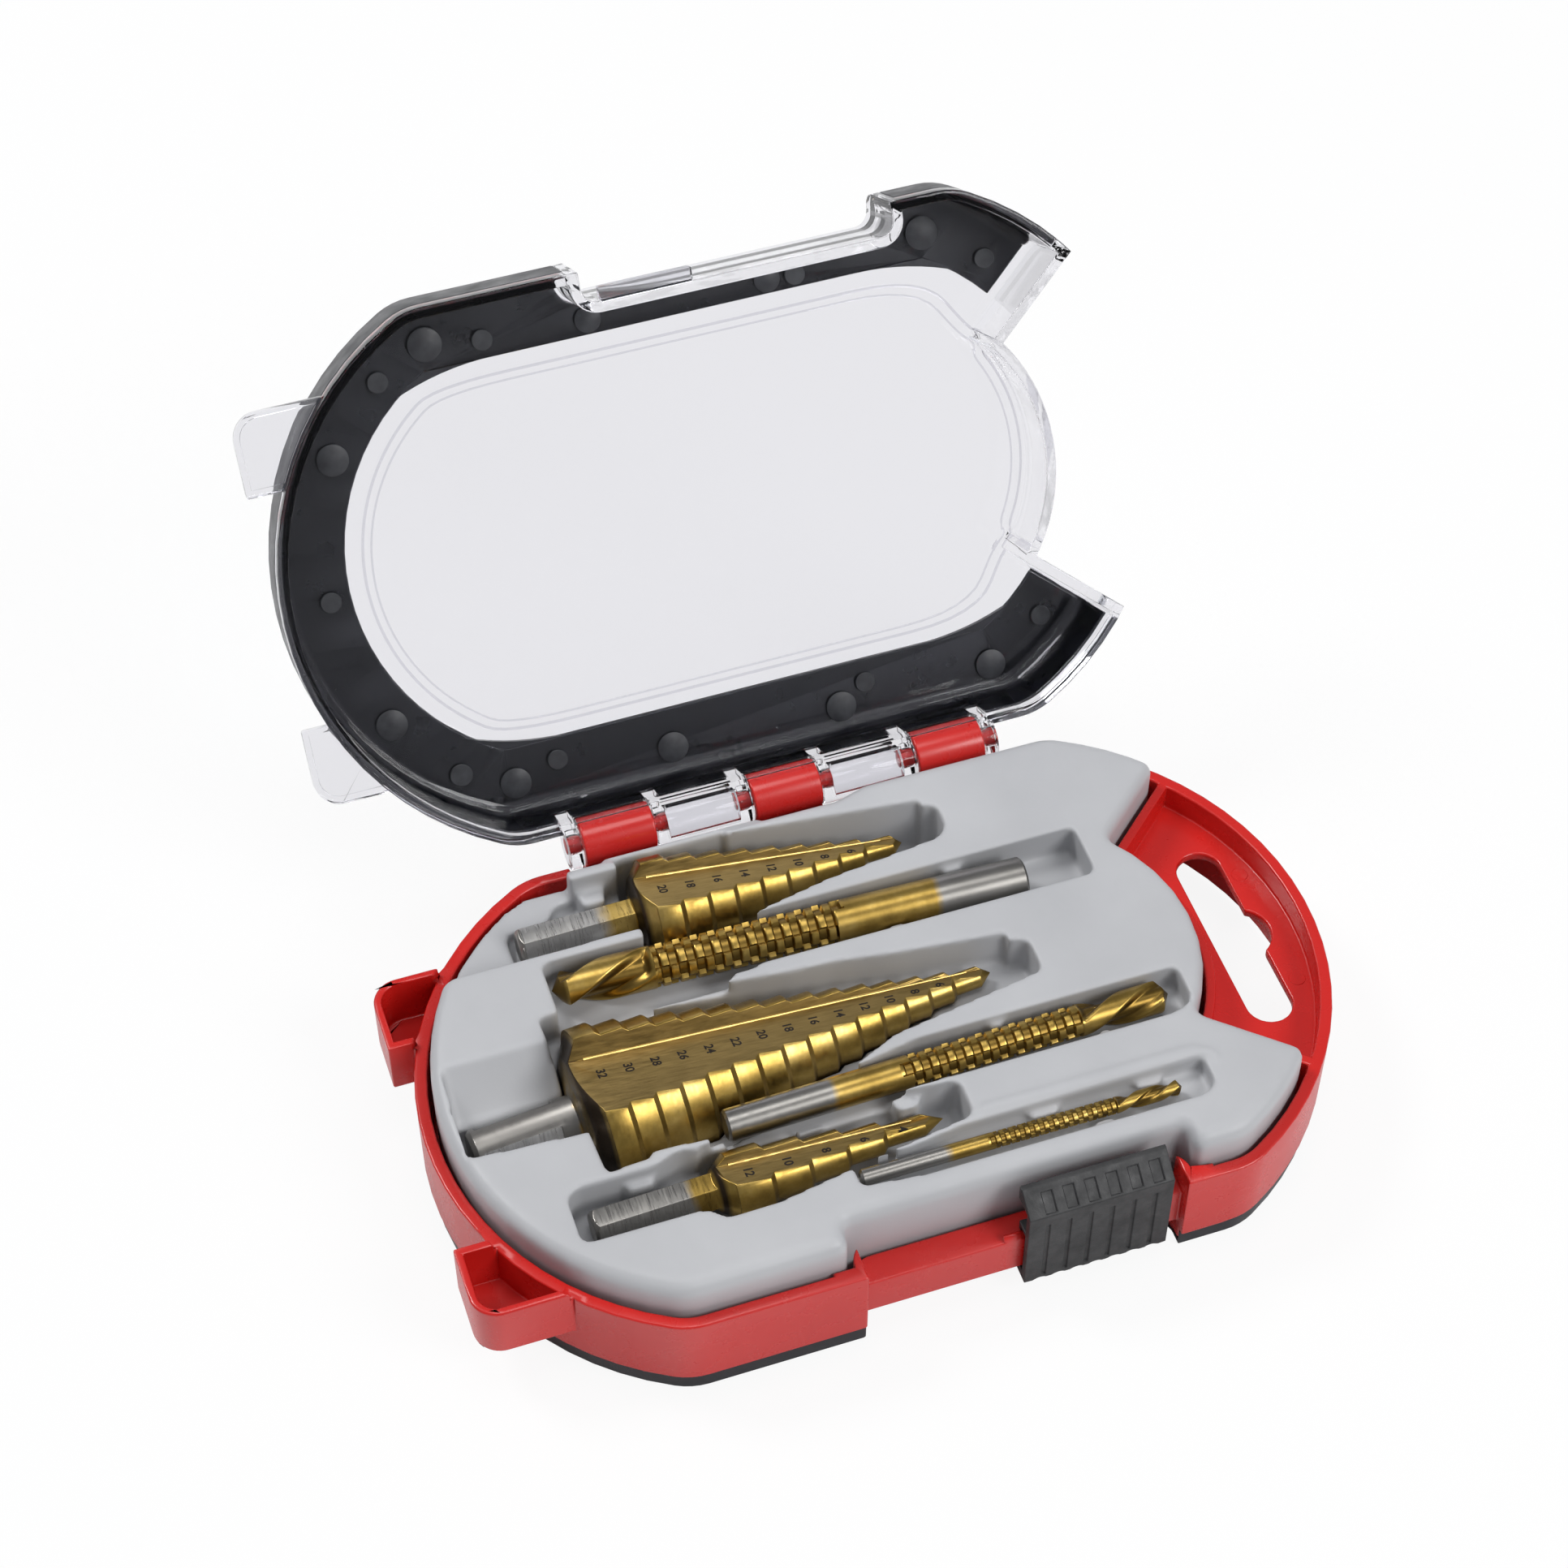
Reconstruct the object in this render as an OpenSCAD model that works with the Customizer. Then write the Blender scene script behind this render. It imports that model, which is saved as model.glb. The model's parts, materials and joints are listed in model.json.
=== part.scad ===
/* [Case outline] */
// Depth of the case from the front edge to the hinge edge
case_w = 102; // [97:1:110]
// Length of the case without the side boxes
case_l = 168.8; // [166:0.2:174]
// How much larger the radius of the round ends is than half the depth of the case
end_extra = 5; // [3:0.5:8]
// Radius that blends a round end into the straight front and rear edges
corner_r = 13; // [8:1:16]

/* [Cut right end of the lid] */
// Distance of each notch beside the handle from the right end of the case
notch_in = 27.85; // [26:0.25:32]
// Half the distance between the two notches
notch_y = 20.7; // [18:0.1:22]
// Angle of the slanted edge from the notch out to the tip
slant_angle = 41.6; // [36:0.2:46]
// How far the rounded middle stands out past the notches
bulge_h = 6.8; // [5:0.2:8]

/* [Heights] */
// Height of the rim of the base above the table
rim_z = 20.5; // [20:0.1:22]
// Height of the top of the tray above the rim
tray_rise = 7; // [6:0.25:8]
// Height of the closed lid above the rim
lid_h = 17; // [16.8:0.1:19]
// Height of the handle floor above the table
handle_floor_z = 15; // [12:0.25:16]
// Height of the rear left corner of the tray above the rim
low_land_rise = 0.5; // [0:0.25:2]

/* [Walls] */
// Thickness of the rim and outer wall of the base
base_wall = 2.3; // [1.8:0.1:2.6]
// Thickness of the floor of the base
base_floor = 2; // [1.5:0.1:2.2]
// Thickness of the walls and the plate of the lid
lid_wall = 2; // [1.6:0.1:2.1]
// Thickness of the inner wall of the base that follows the cut end of the lid
rib_t = 1.8; // [1.4:0.1:2]
// Radius of the outer edge of the lid and of the band on it
lid_edge_r = 4; // [2.5:0.25:5]

/* [Tray] */
// Gap between the tray and the wall of the base
tray_gap = 0.9; // [0.5:0.1:1.2]
// Radius of the rounded upper edge of the tray
tray_edge_r = 2.6; // [1.5:0.1:3]
// How far the rear edge of the tray steps in beside the hinge
hinge_step = 1.8; // [1:0.1:2.4]
// Right end of that step, from the middle of the case
hinge_step_x = 8; // [0:1:16]
// Distance of the low rear left corner from the rear edge of the case
low_y = 23; // [20:0.5:26]
// Right end of the low rear left corner, from the middle of the case
low_x = -45; // [-50:0.5:-40]
// Depth of the lowered ridges between the pockets
ridge_drop = 4; // [2:0.25:6]
// Height of the raised bead beside the smallest pocket
bead_h = 0.6; // [0.3:0.1:1]
// Width of that bead
bead_w = 0.8; // [0.6:0.1:1.2]

/* [Bands] */
// Thickness of the dark bands on the lid and under the base
band_t = 1.2; // [0.9:0.1:1.3]
// Width of the bands from the outer edge to the window
band_w = 14.3; // [11:0.1:15]
// Height of the band skirt around the foot of the base
foot_h = 4; // [3:0.25:5]

/* [Hinge] */
// Distance of the hinge axis behind the rear edge of the case
hinge_back = 2.96; // [2.6:0.02:3.3]
// Height of the hinge axis above the rim
hinge_rise = 2.64; // [2.4:0.02:3]
// Outer radius of the hinge barrels
barrel_r = 4.6; // [4.2:0.1:4.8]
// Radius of the stub pins on the ends of the base barrels
pin_r = 1.6; // [1.2:0.1:2]
// Radial clearance of a stub pin in its lug
pin_clear = 0.05; // [0.03:0.01:0.09]
// Left end of the first lug, from the middle of the case
hinge_x0 = -42.6; // [-46:0.1:-40]
// Length of each hinge barrel with one lug
hinge_pitch = 16.4; // [15:0.1:17]
// Width of each lug of the lid
lug_w = 2.6; // [2:0.1:3]
// Gap between a lug and the barrel beside it
lug_gap = 0.2; // [0.2:0.05:0.4]
// Angle by which the lid stands open
open_angle = 122.6; // [100:0.2:125]

/* [Latch] */
// Left end of the latch recess
recess_x0 = -19.7; // [-22:0.1:-18]
// Right end of the latch recess
recess_x1 = 39.4; // [38:0.1:42]
// Depth of the latch recess behind the front edge
recess_d = 6; // [5.6:0.1:6.4]
// Radius of the inner corners of the latch recess
recess_r = 3; // [1:0.25:4]
// Thickness of the wall of the base around the latch recess
recess_wall = 1.6; // [1.2:0.1:1.8]
// Distance of the rail behind the front edge
rail_in = 2; // [1.8:0.1:2.4]
// Height of the top of the rail below the rim
rail_drop = 5.6; // [5:0.1:6.4]
// Height of the rail
rail_h = 8.9; // [8:0.1:10]
// Width of the slide latch
latch_w = 27; // [24:0.5:28]
// Travel of the slide latch
latch_travel = 27; // [22:0.5:28]
// Gap between the slide latch and the right end of its recess
latch_end_gap = 2.9; // [1:0.1:4]
// Height of the top of the slide latch above the rim
latch_rise = 6; // [5.4:0.1:6.8]
// Thickness of the front plate of the slide latch
latch_t = 1.6; // [1.3:0.1:1.7]
// Number of grip grooves in the front plate, and of finger pads above them
grips = 6; // [4:1:6]
// Distance from one grip groove or pad to the next
grip_pitch = 4; // [3.5:0.1:4.2]
// Depth of the grip grooves
grip_depth = 0.4; // [0.2:0.1:0.6]
// Running gap around the slide latch
latch_gap = 0.4; // [0.3:0.05:0.5]
// Thickness of the tongue on the lid
tongue_t = 2; // [1.5:0.1:2.2]
// How far the tongue stands out of the recess wall of the lid
tongue_d = 2.6; // [2:0.1:3]
// Length of the tongue
tongue_w = 17.5; // [12:0.5:20]

/* [Handle slot] */
// Distance of the middle of the handle slot from the right end of the case
slot_in = 13.75; // [13.4:0.05:14.9]
// Width of the handle slot
slot_w = 8.7; // [7.5:0.1:9]
// Length of the handle slot
slot_l = 40.8; // [36:0.2:42]
// How far the hook for a nail stands out of the side of the slot
nail_out = 2.8; // [2:0.1:3.2]

/* [Side boxes] */
// How far the side boxes stand out past the left end of the case
box_out = 1.2; // [0:0.1:3]
// Width of a side box from front to rear
box_w = 15; // [13:0.5:17]
// Distance of the middle of each side box from the line between them
box_y = 29.5; // [28:0.25:30.5]
// Offset of the line between the side boxes towards the front
box_shift = 2; // [0:0.25:3]
// Height of the top of the side boxes above the rim
box_rise = 1.9; // [1:0.1:2.4]
// Depth of a side box
box_h = 12; // [9:0.5:14]
// Wall of a side box
box_wall = 1.4; // [1:0.1:1.8]
// Thickness of the lid tabs over the side boxes
tab_t = 1.5; // [1.2:0.1:1.6]
// Height of the raised lip around the edge of each tab
tab_lip = 0.6; // [0.3:0.1:0.6]

/* [Step drills] */
// Length of one step of the large step drill
pitch_32 = 5; // [4.9:0.05:5.1]
// Length of one step of the middle step drill
pitch_20 = 5.3; // [5.2:0.05:5.35]
// Length of one step of the small step drill
pitch_12 = 7.2; // [7:0.05:7.4]
// Distance from the shank end to the first step of the large step drill
shank_32_len = 22.5; // [22:0.1:23]
// Distance from the shank end to the first step of the middle step drill
shank_20_len = 25.2; // [24.8:0.1:25.4]
// Distance from the shank end to the first step of the small step drill
shank_12_len = 25.1; // [24.6:0.1:25.4]
// Length of the point of the large step drill
tip_32_len = 2.5; // [2:0.1:2.8]
// Length of the point of the middle step drill
tip_20_len = 2.1; // [1.8:0.1:2.4]
// Length of the point of the small step drill
tip_12_len = 3.9; // [3.4:0.1:4]
// Radius of the round shank of the large step drill
shank_32_r = 5; // [4:0.1:5]
// Width across the flats of the hexagonal shanks
hex_af = 6.35; // [6:0.05:6.5]

/* [Saw drills] */
// Diameter of the large saw drill
saw_8_d = 8; // [7.5:0.1:8]
// Diameter of the middle saw drill
saw_6_d = 6; // [5.5:0.1:6]
// Diameter of the small saw drill
saw_3_d = 3; // [2.5:0.1:3.2]
// Length of the large saw drill
saw_8_len = 90; // [88:0.5:92]
// Length of the middle saw drill
saw_6_len = 84.4; // [82:0.2:86]
// Length of the small saw drill
saw_3_len = 60; // [58:0.5:62]
// Part of a saw drill's length that is plain shank
saw_shank_share = 0.41; // [0.38:0.01:0.44]
// Part of a saw drill's length that is rasp
saw_rasp_share = 0.38; // [0.34:0.01:0.4]
// Depth of the rasp grooves as a share of the radius
rasp_depth = 0.2; // [0.1:0.02:0.24]

/* [Fits] */
// Gap between a drill and its seat in the tray
seat_gap = 0.3; // [0.2:0.05:0.6]
// Gap between the point of the large saw drill and the end of its pocket
end_gap = 0.5; // [0.3:0.1:1]
// Gap between parts of the case that meet when it is closed
close_gap = 0.2; // [0.1:0.05:0.4]

/* [Hidden] */
$fn = 64;
e = 0.01;
far = 200;
half_w = case_w / 2;
end_r = half_w + end_extra;
left_x = -case_l / 2;
end_c = case_l / 2 - end_r;
notch_x = case_l / 2 - notch_in;
slot_x = case_l / 2 - slot_in;
box_x = case_l / 2 + box_out;
lid_z = rim_z + close_gap;
lid_top = rim_z + lid_h;
tray_top = rim_z + tray_rise;
tray_z = band_t + base_floor + 0.6;
hinge_y = half_w + hinge_back;
hinge_z = rim_z + hinge_rise;
recess_y = -half_w + recess_d;
rail_z = rim_z - rail_drop;
bulge_r = (notch_y * notch_y + bulge_h * bulge_h) / (2 * bulge_h);
bulge_c = notch_x + bulge_h - bulge_r;
latch_x1 = recess_x1 - latch_end_gap;
latch_x0 = latch_x1 - latch_w;
tongue_z = rim_z + close_gap;
tray_in = base_wall + tray_gap;
tray_cut = rib_t + tray_gap;
recess_clear = recess_wall + 0.7;
lid_step = 1.3;
step_r_32 = 16;
step_r_20 = 10;
step_r_12 = 6;
last_step_r = 2;
end_steps = 12;
corner_steps = 4;
edge_steps = 4;

// Places of the drills: [shank end, angle in plan, rise of the tip]
place_32 = [[left_x + 7.4, half_w - 55.3, 18.1], 3.85, 1.8];
place_20 = [[left_x + 27, half_w - 16.25, 22], 0.6, 0];
place_12 = [[left_x + 22.5, half_w / 3 - 44.9, 22.5], 2, 0];
place_8 = [[left_x + 29.7 + saw_8_len, half_w - 32.5, 24.7], 178.1, 0];
place_6 = [[left_x + 50.1, half_w - 67.6, 25], 1.15, 0];
place_3 = [[left_x + 68.7, 16.3 - half_w, 25.6], 0, 0];

// ---- outlines ----

// Points of one quarter of the outline, from the middle of the right end to the straight rear edge
function quarter(d) =
    let (
        r = max(corner_r - d, 0.6),
        cy = half_w - d - r,
        cx = end_c + sqrt(pow(end_r - d - r, 2) - cy * cy),
        a = atan2(cy, cx - end_c)
    )
    concat(
        [for (i = [0:end_steps]) let (t = a * i / end_steps)
            [end_c, 0] + (end_r - d) * [cos(t), sin(t)]],
        [for (i = [1:corner_steps]) let (t = a + (90 - a) * i / corner_steps)
            [cx, cy] + r * [cos(t), sin(t)]]
    );

// Points all around the outline of the case, drawn in by d
function outline_points(d) =
    let (
        q = quarter(d),
        n = len(q)
    )
    concat(
        q,
        [for (i = [n - 1:-1:1]) [-q[i][0], q[i][1]]],
        [for (i = [0:n - 1]) -q[i]],
        [for (i = [n - 1:-1:1]) [q[i][0], -q[i][1]]]
    );

// Outline of the whole case, drawn in by d
module outline(d = 0) {
    polygon(outline_points(d));
}

// Everything left of the slanted edges at the right end, drawn in by d
module left_of_slant(d = 0) {
    u = [cos(slant_angle), sin(slant_angle)];
    p = [notch_x - d * u[1], notch_y + d * u[0]];
    a = p + far * u;
    b = p - 6 * u;
    polygon([[-far, -far], [a[0], -a[1]], [b[0], -b[1]], b, a, [-far, far]]);
}

// Everything left of the cut right end, with its rounded middle, drawn in by d
module left_of_cut(d = 0) {
    left_of_slant(d);
    translate([bulge_c, 0]) circle(bulge_r - d, $fn = 128);
}

// Plan of the lid, drawn in by d
module lid_plan(d = 0) {
    difference() {
        intersection() {
            outline(d);
            left_of_cut(d);
        }
        recess_plan(d);
    }
}

// Plan of the latch recess, grown by d, with rounded inner corners
module recess_plan(d = 0) {
    r = recess_r + d;
    x0 = recess_x0 - d;
    x1 = recess_x1 + d;
    y1 = recess_y + d;
    translate([x0, -far]) square([x1 - x0, far + y1 - r]);
    translate([x0 + r, -far]) square([x1 - x0 - 2 * r, far + y1]);
    for (x = [x0 + r, x1 - r]) translate([x, y1 - r]) circle(r);
}

// Plan of a dark band: a C that leaves a window and the right end free
module band_plan() {
    difference() {
        intersection() {
            outline(-1);
            left_of_slant(rib_t + 0.8);
        }
        outline(band_w);
        recess_plan(lid_wall);
    }
}

// Slab with the outline of the case drawn in by d, and a rounded upper edge of radius r
module rounded_slab(d, z0, z1, r) {
    ringed(concat([[outline_points(d), z0]], [for (i = [0:edge_steps]) let (t = 90 * i / edge_steps)
        [outline_points(d + r * (1 - cos(t))), z1 - r + r * sin(t)]]));
}

// ---- base ----

module base_shell() {
    color("#c4181c") {
        difference() {
            union() {
                translate([0, 0, foot_h]) linear_extrude(rim_z - foot_h) outline();
                translate([0, 0, band_t]) linear_extrude(foot_h) outline(band_t);
                linear_extrude(rim_z) outline(band_w + 0.3);
                side_boxes_outer();
            }
            // main compartment
            translate([0, 0, tray_z]) linear_extrude(far) intersection() {
                outline(base_wall);
                left_of_cut(rib_t);
            }
            // recess of the handle, from above and from below
            translate([0, 0, handle_floor_z]) linear_extrude(far) handle_zone();
            translate([0, 0, -e]) linear_extrude(handle_floor_z - base_floor) handle_zone();
            handle_slot();
            side_boxes_inner();
            latch_recess();
            lug_room();
        }
        rim_thickening();
        rail();
        base_barrels();
    }
}

// Plan of the sunk floor between the inner wall and the round outer wall
module handle_zone() {
    difference() {
        outline(base_wall);
        left_of_cut();
    }
}

module handle_slot() {
    r = slot_w / 2;
    nail_r = r + 1.2;
    translate([slot_x, 0, -e]) linear_extrude(far) {
        square([slot_w, slot_l - slot_w], center = true);
        for (s = [-1, 1]) translate([0, s * (slot_l / 2 - r)]) circle(r);
        translate([r + nail_out - nail_r, 0]) circle(nail_r);
    }
}

// The two open boxes on the left end
module box_plan(d, s) {
    y0 = -box_w / 2 + d;
    x0 = -box_x + d;
    r = 5 - d;
    translate([0, s * box_y - box_shift]) scale([1, s]) {
        translate([x0, y0]) square([30 - d, box_w - 2 * d - r]);
        translate([x0 + r, y0]) square([30 - d - r, box_w - 2 * d]);
        translate([x0 + r, box_w / 2 - d - r]) circle(r);
    }
}

module side_boxes_outer() {
    intersection() {
        translate([0, 0, rim_z + box_rise - box_h]) linear_extrude(box_h) difference() {
            for (s = [-1, 1]) box_plan(0, s);
            outline(base_wall);
        }
        translate([-far, -half_w, 0]) cube([far, case_w, far]);
    }
}

// Hollow of the side boxes, and room above the rim for the closed lid
module side_boxes_inner() {
    translate([0, 0, rim_z + box_rise - box_h + box_wall]) linear_extrude(far) difference() {
        for (s = [-1, 1]) box_plan(box_wall, s);
        outline();
    }
    translate([0, 0, rim_z]) linear_extrude(far) outline(-close_gap - 0.1);
}

module latch_recess() {
    translate([0, 0, -e]) linear_extrude(far) recess_plan();
}

module rail() {
    w = recess_x1 - recess_x0;
    translate([recess_x0, -half_w + rail_in, rail_z - rail_h]) cube([w, recess_d - rail_in + 1, rail_h]);
    // wall around the recess, cut down to the ledge behind the rail
    difference() {
        translate([0, 0, band_t]) linear_extrude(rim_z - band_t) intersection() {
            outline(band_t + e);
            difference() {
                recess_plan(recess_wall);
                recess_plan();
            }
        }
        translate([recess_x0, -far, rail_z]) cube([w, far, far]);
    }
    // detent wedge beside the open latch
    translate([latch_x0 - 3.4, -half_w + rail_in, rail_z - e]) rotate([90, 0, 90])
        linear_extrude(3) polygon([[0, 0], [1.1, 0], [1.1, 1.3], [0.4, 1.3]]);
}

module rim_thickening() {
    translate([0, 0, rim_z - 3]) linear_extrude(3) intersection() {
        difference() {
            outline();
            outline(base_wall + 0.6);
        }
        union() {
            translate([recess_x0 - 5.6, -far]) square([5.6, far]);
            translate([recess_x1, -far]) square([5.6, far]);
        }
    }
}

// ---- hinge ----

// Left ends of the six lugs: three base barrels and two lid panels lie between them
function lug_x(i) = hinge_x0 + i * hinge_pitch + (i == 0 ? 0 : 0.6);

// Cylinder on the hinge axis, from x to the right
module along_hinge(x, len, r = barrel_r) {
    translate([x, hinge_y, hinge_z]) rotate([0, 90, 0]) cylinder(h = len, r = r);
}

module base_barrels() {
    for (i = [0, 2, 4]) {
        x0 = lug_x(i) + lug_w + lug_gap;
        len = lug_x(i + 1) - lug_gap - x0;
        difference() {
            union() {
                along_hinge(x0, len);
                translate([x0, half_w - base_wall, rim_z - 7]) cube([len, base_wall + hinge_back, 7]);
            }
            // the web is bevelled below and stays clear of the opening lid
            translate([x0 - 1, half_w, rim_z - 7]) rotate([45, 0, 0])
                translate([0, 0, -far / 2]) cube([len + 2, far, far / 2]);
        }
        // stub pins, rooted 1 mm deep in the barrel
        for (x = [x0 - lug_w - lug_gap, x0 + len - 1]) along_hinge(x, lug_w + lug_gap + 1, pin_r);
    }
}

// Room in the base for the turning lugs, and for the panels between two of them
module lug_room() {
    for (i = [0:5]) {
        x0 = lug_x(i) - lug_gap - 0.1;
        x1 = lug_x(i == 1 || i == 3 ? i + 1 : i) + lug_w + lug_gap;
        along_hinge(x0, x1 - x0, barrel_r + 0.4);
    }
}

// Room in the lid for the barrels of the base
module barrel_room() {
    for (i = [0, 2, 4]) {
        x0 = lug_x(i) + lug_w;
        along_hinge(x0, lug_x(i + 1) - x0, barrel_r + 0.4);
    }
}

// ---- lid, built closed and turned about the hinge axis ----

module lid_place() {
    translate([0, hinge_y, hinge_z]) rotate([-open_angle, 0, 0]) translate([0, -hinge_y, -hinge_z])
        children();
}

module lid_body(d) {
    intersection() {
        rounded_slab(d, lid_z, lid_top - d, lid_edge_r - d);
        linear_extrude(far) difference() {
            left_of_cut(d);
            recess_plan(d);
        }
    }
}

module lid_shell() {
    color([0.86, 0.88, 0.94, 0.4]) lid_place() {
        difference() {
            lid_body(0);
            // seat of the band
            difference() {
                translate([0, 0, lid_z + foot_h]) linear_extrude(far) band_plan();
                lid_body(band_t);
            }
            // hollow, with a step along its upper edge that follows the rounded outside
            linear_extrude(lid_top - lid_wall) lid_plan(lid_wall + lid_step);
            linear_extrude(lid_top - lid_wall - lid_step) lid_plan(lid_wall);
            barrel_room();
        }
        lid_tabs();
        lid_lugs();
        tongue();
    }
}

module lid_tabs() {
    translate([0, 0, rim_z + box_rise + close_gap]) linear_extrude(tab_t) difference() {
        for (s = [-1, 1]) box_plan(0, s);
        outline(lid_wall - 0.5);
    }
    // raised lip around the edge of each tab
    translate([0, 0, rim_z + box_rise + close_gap]) linear_extrude(tab_t + tab_lip) difference() {
        for (s = [-1, 1]) box_plan(0, s);
        for (s = [-1, 1]) box_plan(1.2, s);
        outline(lid_wall - 0.5);
    }
}

// Body of each lug, grown by g on each side
module lugs(g = 0) {
    for (i = [0:5]) {
        along_hinge(lug_x(i) - g, lug_w + 2 * g);
        translate([lug_x(i) - g, half_w - lid_wall, hinge_z])
            cube([lug_w + 2 * g, hinge_back + lid_wall - 0.8 + g, 7 + g]);
    }
    // room of the cover panels beside the lugs
    if (g > 0) for (i = [1, 3]) along_hinge(lug_x(i), hinge_pitch);
}

module lid_lugs() {
    difference() {
        union() {
            lugs();
            // cover panels between the lugs that have no barrel
            for (i = [1, 3]) difference() {
                along_hinge(lug_x(i), hinge_pitch);
                along_hinge(lug_x(i) - 1, hinge_pitch + 2, barrel_r - 1.4);
                translate([lug_x(i) + lug_w, half_w - far, hinge_z - far])
                    cube([hinge_pitch - lug_w, far, far]);
            }
        }
        for (i = [0:5]) along_hinge(lug_x(i) - 1, lug_w + 2, pin_r + pin_clear);
    }
}

module tongue() {
    translate([recess_x0 + 3, recess_y - tongue_d, tongue_z])
        cube([tongue_w, tongue_d + lid_wall / 2, tongue_t]);
}

module lid_band() {
    color("#17181c") lid_place() {
        difference() {
            intersection() {
                lid_body(0);
                translate([0, 0, lid_z + foot_h + close_gap / 2]) linear_extrude(far) band_plan();
            }
            lid_body(band_t);
            barrel_room();
            lugs(0.1);
        }
    }
}

module base_band() {
    color("#17181c") difference() {
        linear_extrude(foot_h) difference() {
            intersection() {
                outline(0.6);
                left_of_slant(rib_t + 0.8);
            }
            outline(band_w);
            recess_plan(0);
        }
        translate([0, 0, band_t]) linear_extrude(far) outline(band_t);
    }
}

// ---- slide latch ----

module slide_latch() {
    y0 = -half_w;
    g = latch_gap;
    z1 = rim_z + latch_rise;
    z0 = rail_z - rail_h - g - 2.2;
    lip_z = tongue_z + tongue_t + g;
    color("#222327") difference() {
        translate([latch_x0, 0, 0]) rotate([90, 0, 90]) linear_extrude(latch_w) polygon([
            [y0, z0], [y0, z1 - 3.4], [y0 + 4, z1 - 0.5], [y0 + 4.6, z1], [recess_y - 0.5, z1],
            [recess_y - 0.5, lip_z], [y0 + latch_t, lip_z], [y0 + latch_t, rail_z + 2.4],
            [recess_y - 1.6, rail_z + 2.4], [recess_y - 1.6, rail_z + 0.3],
            [y0 + rail_in + 1.5, rail_z + 0.3], [y0 + rail_in + 1.5, rail_z + 1.6],
            [y0 + latch_t, rail_z + 1.6], [y0 + latch_t, rail_z - rail_h - g],
            [recess_y - 1.6, rail_z - rail_h - g], [recess_y - 1.6, z0]]);
        for (i = [0:grips - 1]) translate([latch_x0 + 3.2 + i * grip_pitch, y0, 0]) {
            // finger pads on the sloped top
            translate([0, 0.4, z1 - 3.1]) rotate([37, 0, 0]) translate([0, 0, -grip_depth]) cube([2, 4, 3]);
            // grooves down the front
            translate([0, -1, z0 + 1]) cube([0.8, 1 + grip_depth, z1 - z0 - 7]);
        }
        // scalloped foot
        for (i = [0:grips]) translate([latch_x0 + 3 + i * 3.5, y0 - 1, z0 - 1.6])
            rotate([-90, 0, 0]) cylinder(h = 5, r = 2);
    }
}

// ---- drills ----

// Puts what is built along +Z on the axis of a drill
module along_drill(place) {
    translate(place[0]) rotate([0, 0, place[1]]) rotate([0, -place[2], 0]) rotate([0, 90, 0])
        rotate([0, 0, 180]) children();
}

// Straight flute with a radial cutting face and a wide flat face
module step_flute(r, len, s0) {
    depth = 0.73;
    tilt = atan((r - last_step_r) * depth / len);
    w = 103.4;
    rotate([0, 0, -25.1]) translate([2 * depth, 0, s0 + len]) rotate([0, -tilt, 0])
        translate([0, 0, -2 * len]) linear_extrude(3 * len)
            polygon([[0, 0], [far, 0], [far, far], [far * cos(w), far * sin(w)]]);
}

// Stepped body: n steps of length p, each 1 mm less in radius, from s0 on, grown by g
module step_body(r, n, p, s0, shank_r, tip_h, g = 0) {
    b = 1;
    rotate_extrude($fn = 96) polygon(concat(
        [[0, s0 - 3.2 - g], [shank_r + g, s0 - 3.2 - g], [r * 0.7 + g, s0 - 2.3 - g]],
        [[r * 0.97 + g, s0 - g]],
        [for (i = [0:n - 1], k = [0, 1])
            [r - i + g, s0 + i * p + k * (p - b) + (i == 0 && k == 0 ? -g : g)]],
        [[r - n + 1 + g, s0 + n * p], [g, s0 + n * p + tip_h + g], [0, s0 + n * p + tip_h + g]]));
}

module step_drill(r, n, p, s0, shank_r, tip_h) {
    difference() {
        step_body(r, n, p, s0, shank_r, tip_h);
        for (a = [0, 180]) rotate([0, 0, a]) step_flute(r, n * p, s0);
    }
}

// Round shank with three ground flats
module flat_shank(r, len) {
    difference() {
        rotate_extrude() polygon([[0, 0], [r - 0.8, 0], [r, 0.8], [r, len], [0, len]]);
        for (a = [60, 180, 300]) rotate([0, 0, a]) translate([r * 0.88, -r, 1.6]) cube([r, 2 * r, len - 5]);
    }
}

module hex_shank(af, len) {
    r = af / sqrt(3);
    intersection() {
        rotate([0, 0, 30]) cylinder(h = len, r = r, $fn = 6);
        rotate_extrude() polygon([[0, 0], [r - 0.9, 0], [r + 0.1, 1], [r + 0.1, len], [0, len]]);
    }
}

module step_drill_32() {
    color("#b98a2c") along_drill(place_32) {
        step_drill(step_r_32, step_r_32 - last_step_r + 1, pitch_32, shank_32_len, shank_32_r, tip_32_len);
        flat_shank(shank_32_r, shank_32_len - 3);
    }
}

module step_drill_20() {
    color("#b98a2c") along_drill(place_20) {
        step_drill(step_r_20, step_r_20 - last_step_r + 1, pitch_20, shank_20_len, hex_af / 2, tip_20_len);
        hex_shank(hex_af, shank_20_len - 2);
    }
}

module step_drill_12() {
    color("#b98a2c") along_drill(place_12) {
        step_drill(step_r_12, step_r_12 - last_step_r + 1, pitch_12, shank_12_len, hex_af / 2, tip_12_len);
        hex_shank(hex_af, shank_12_len - 2);
    }
}

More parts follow.
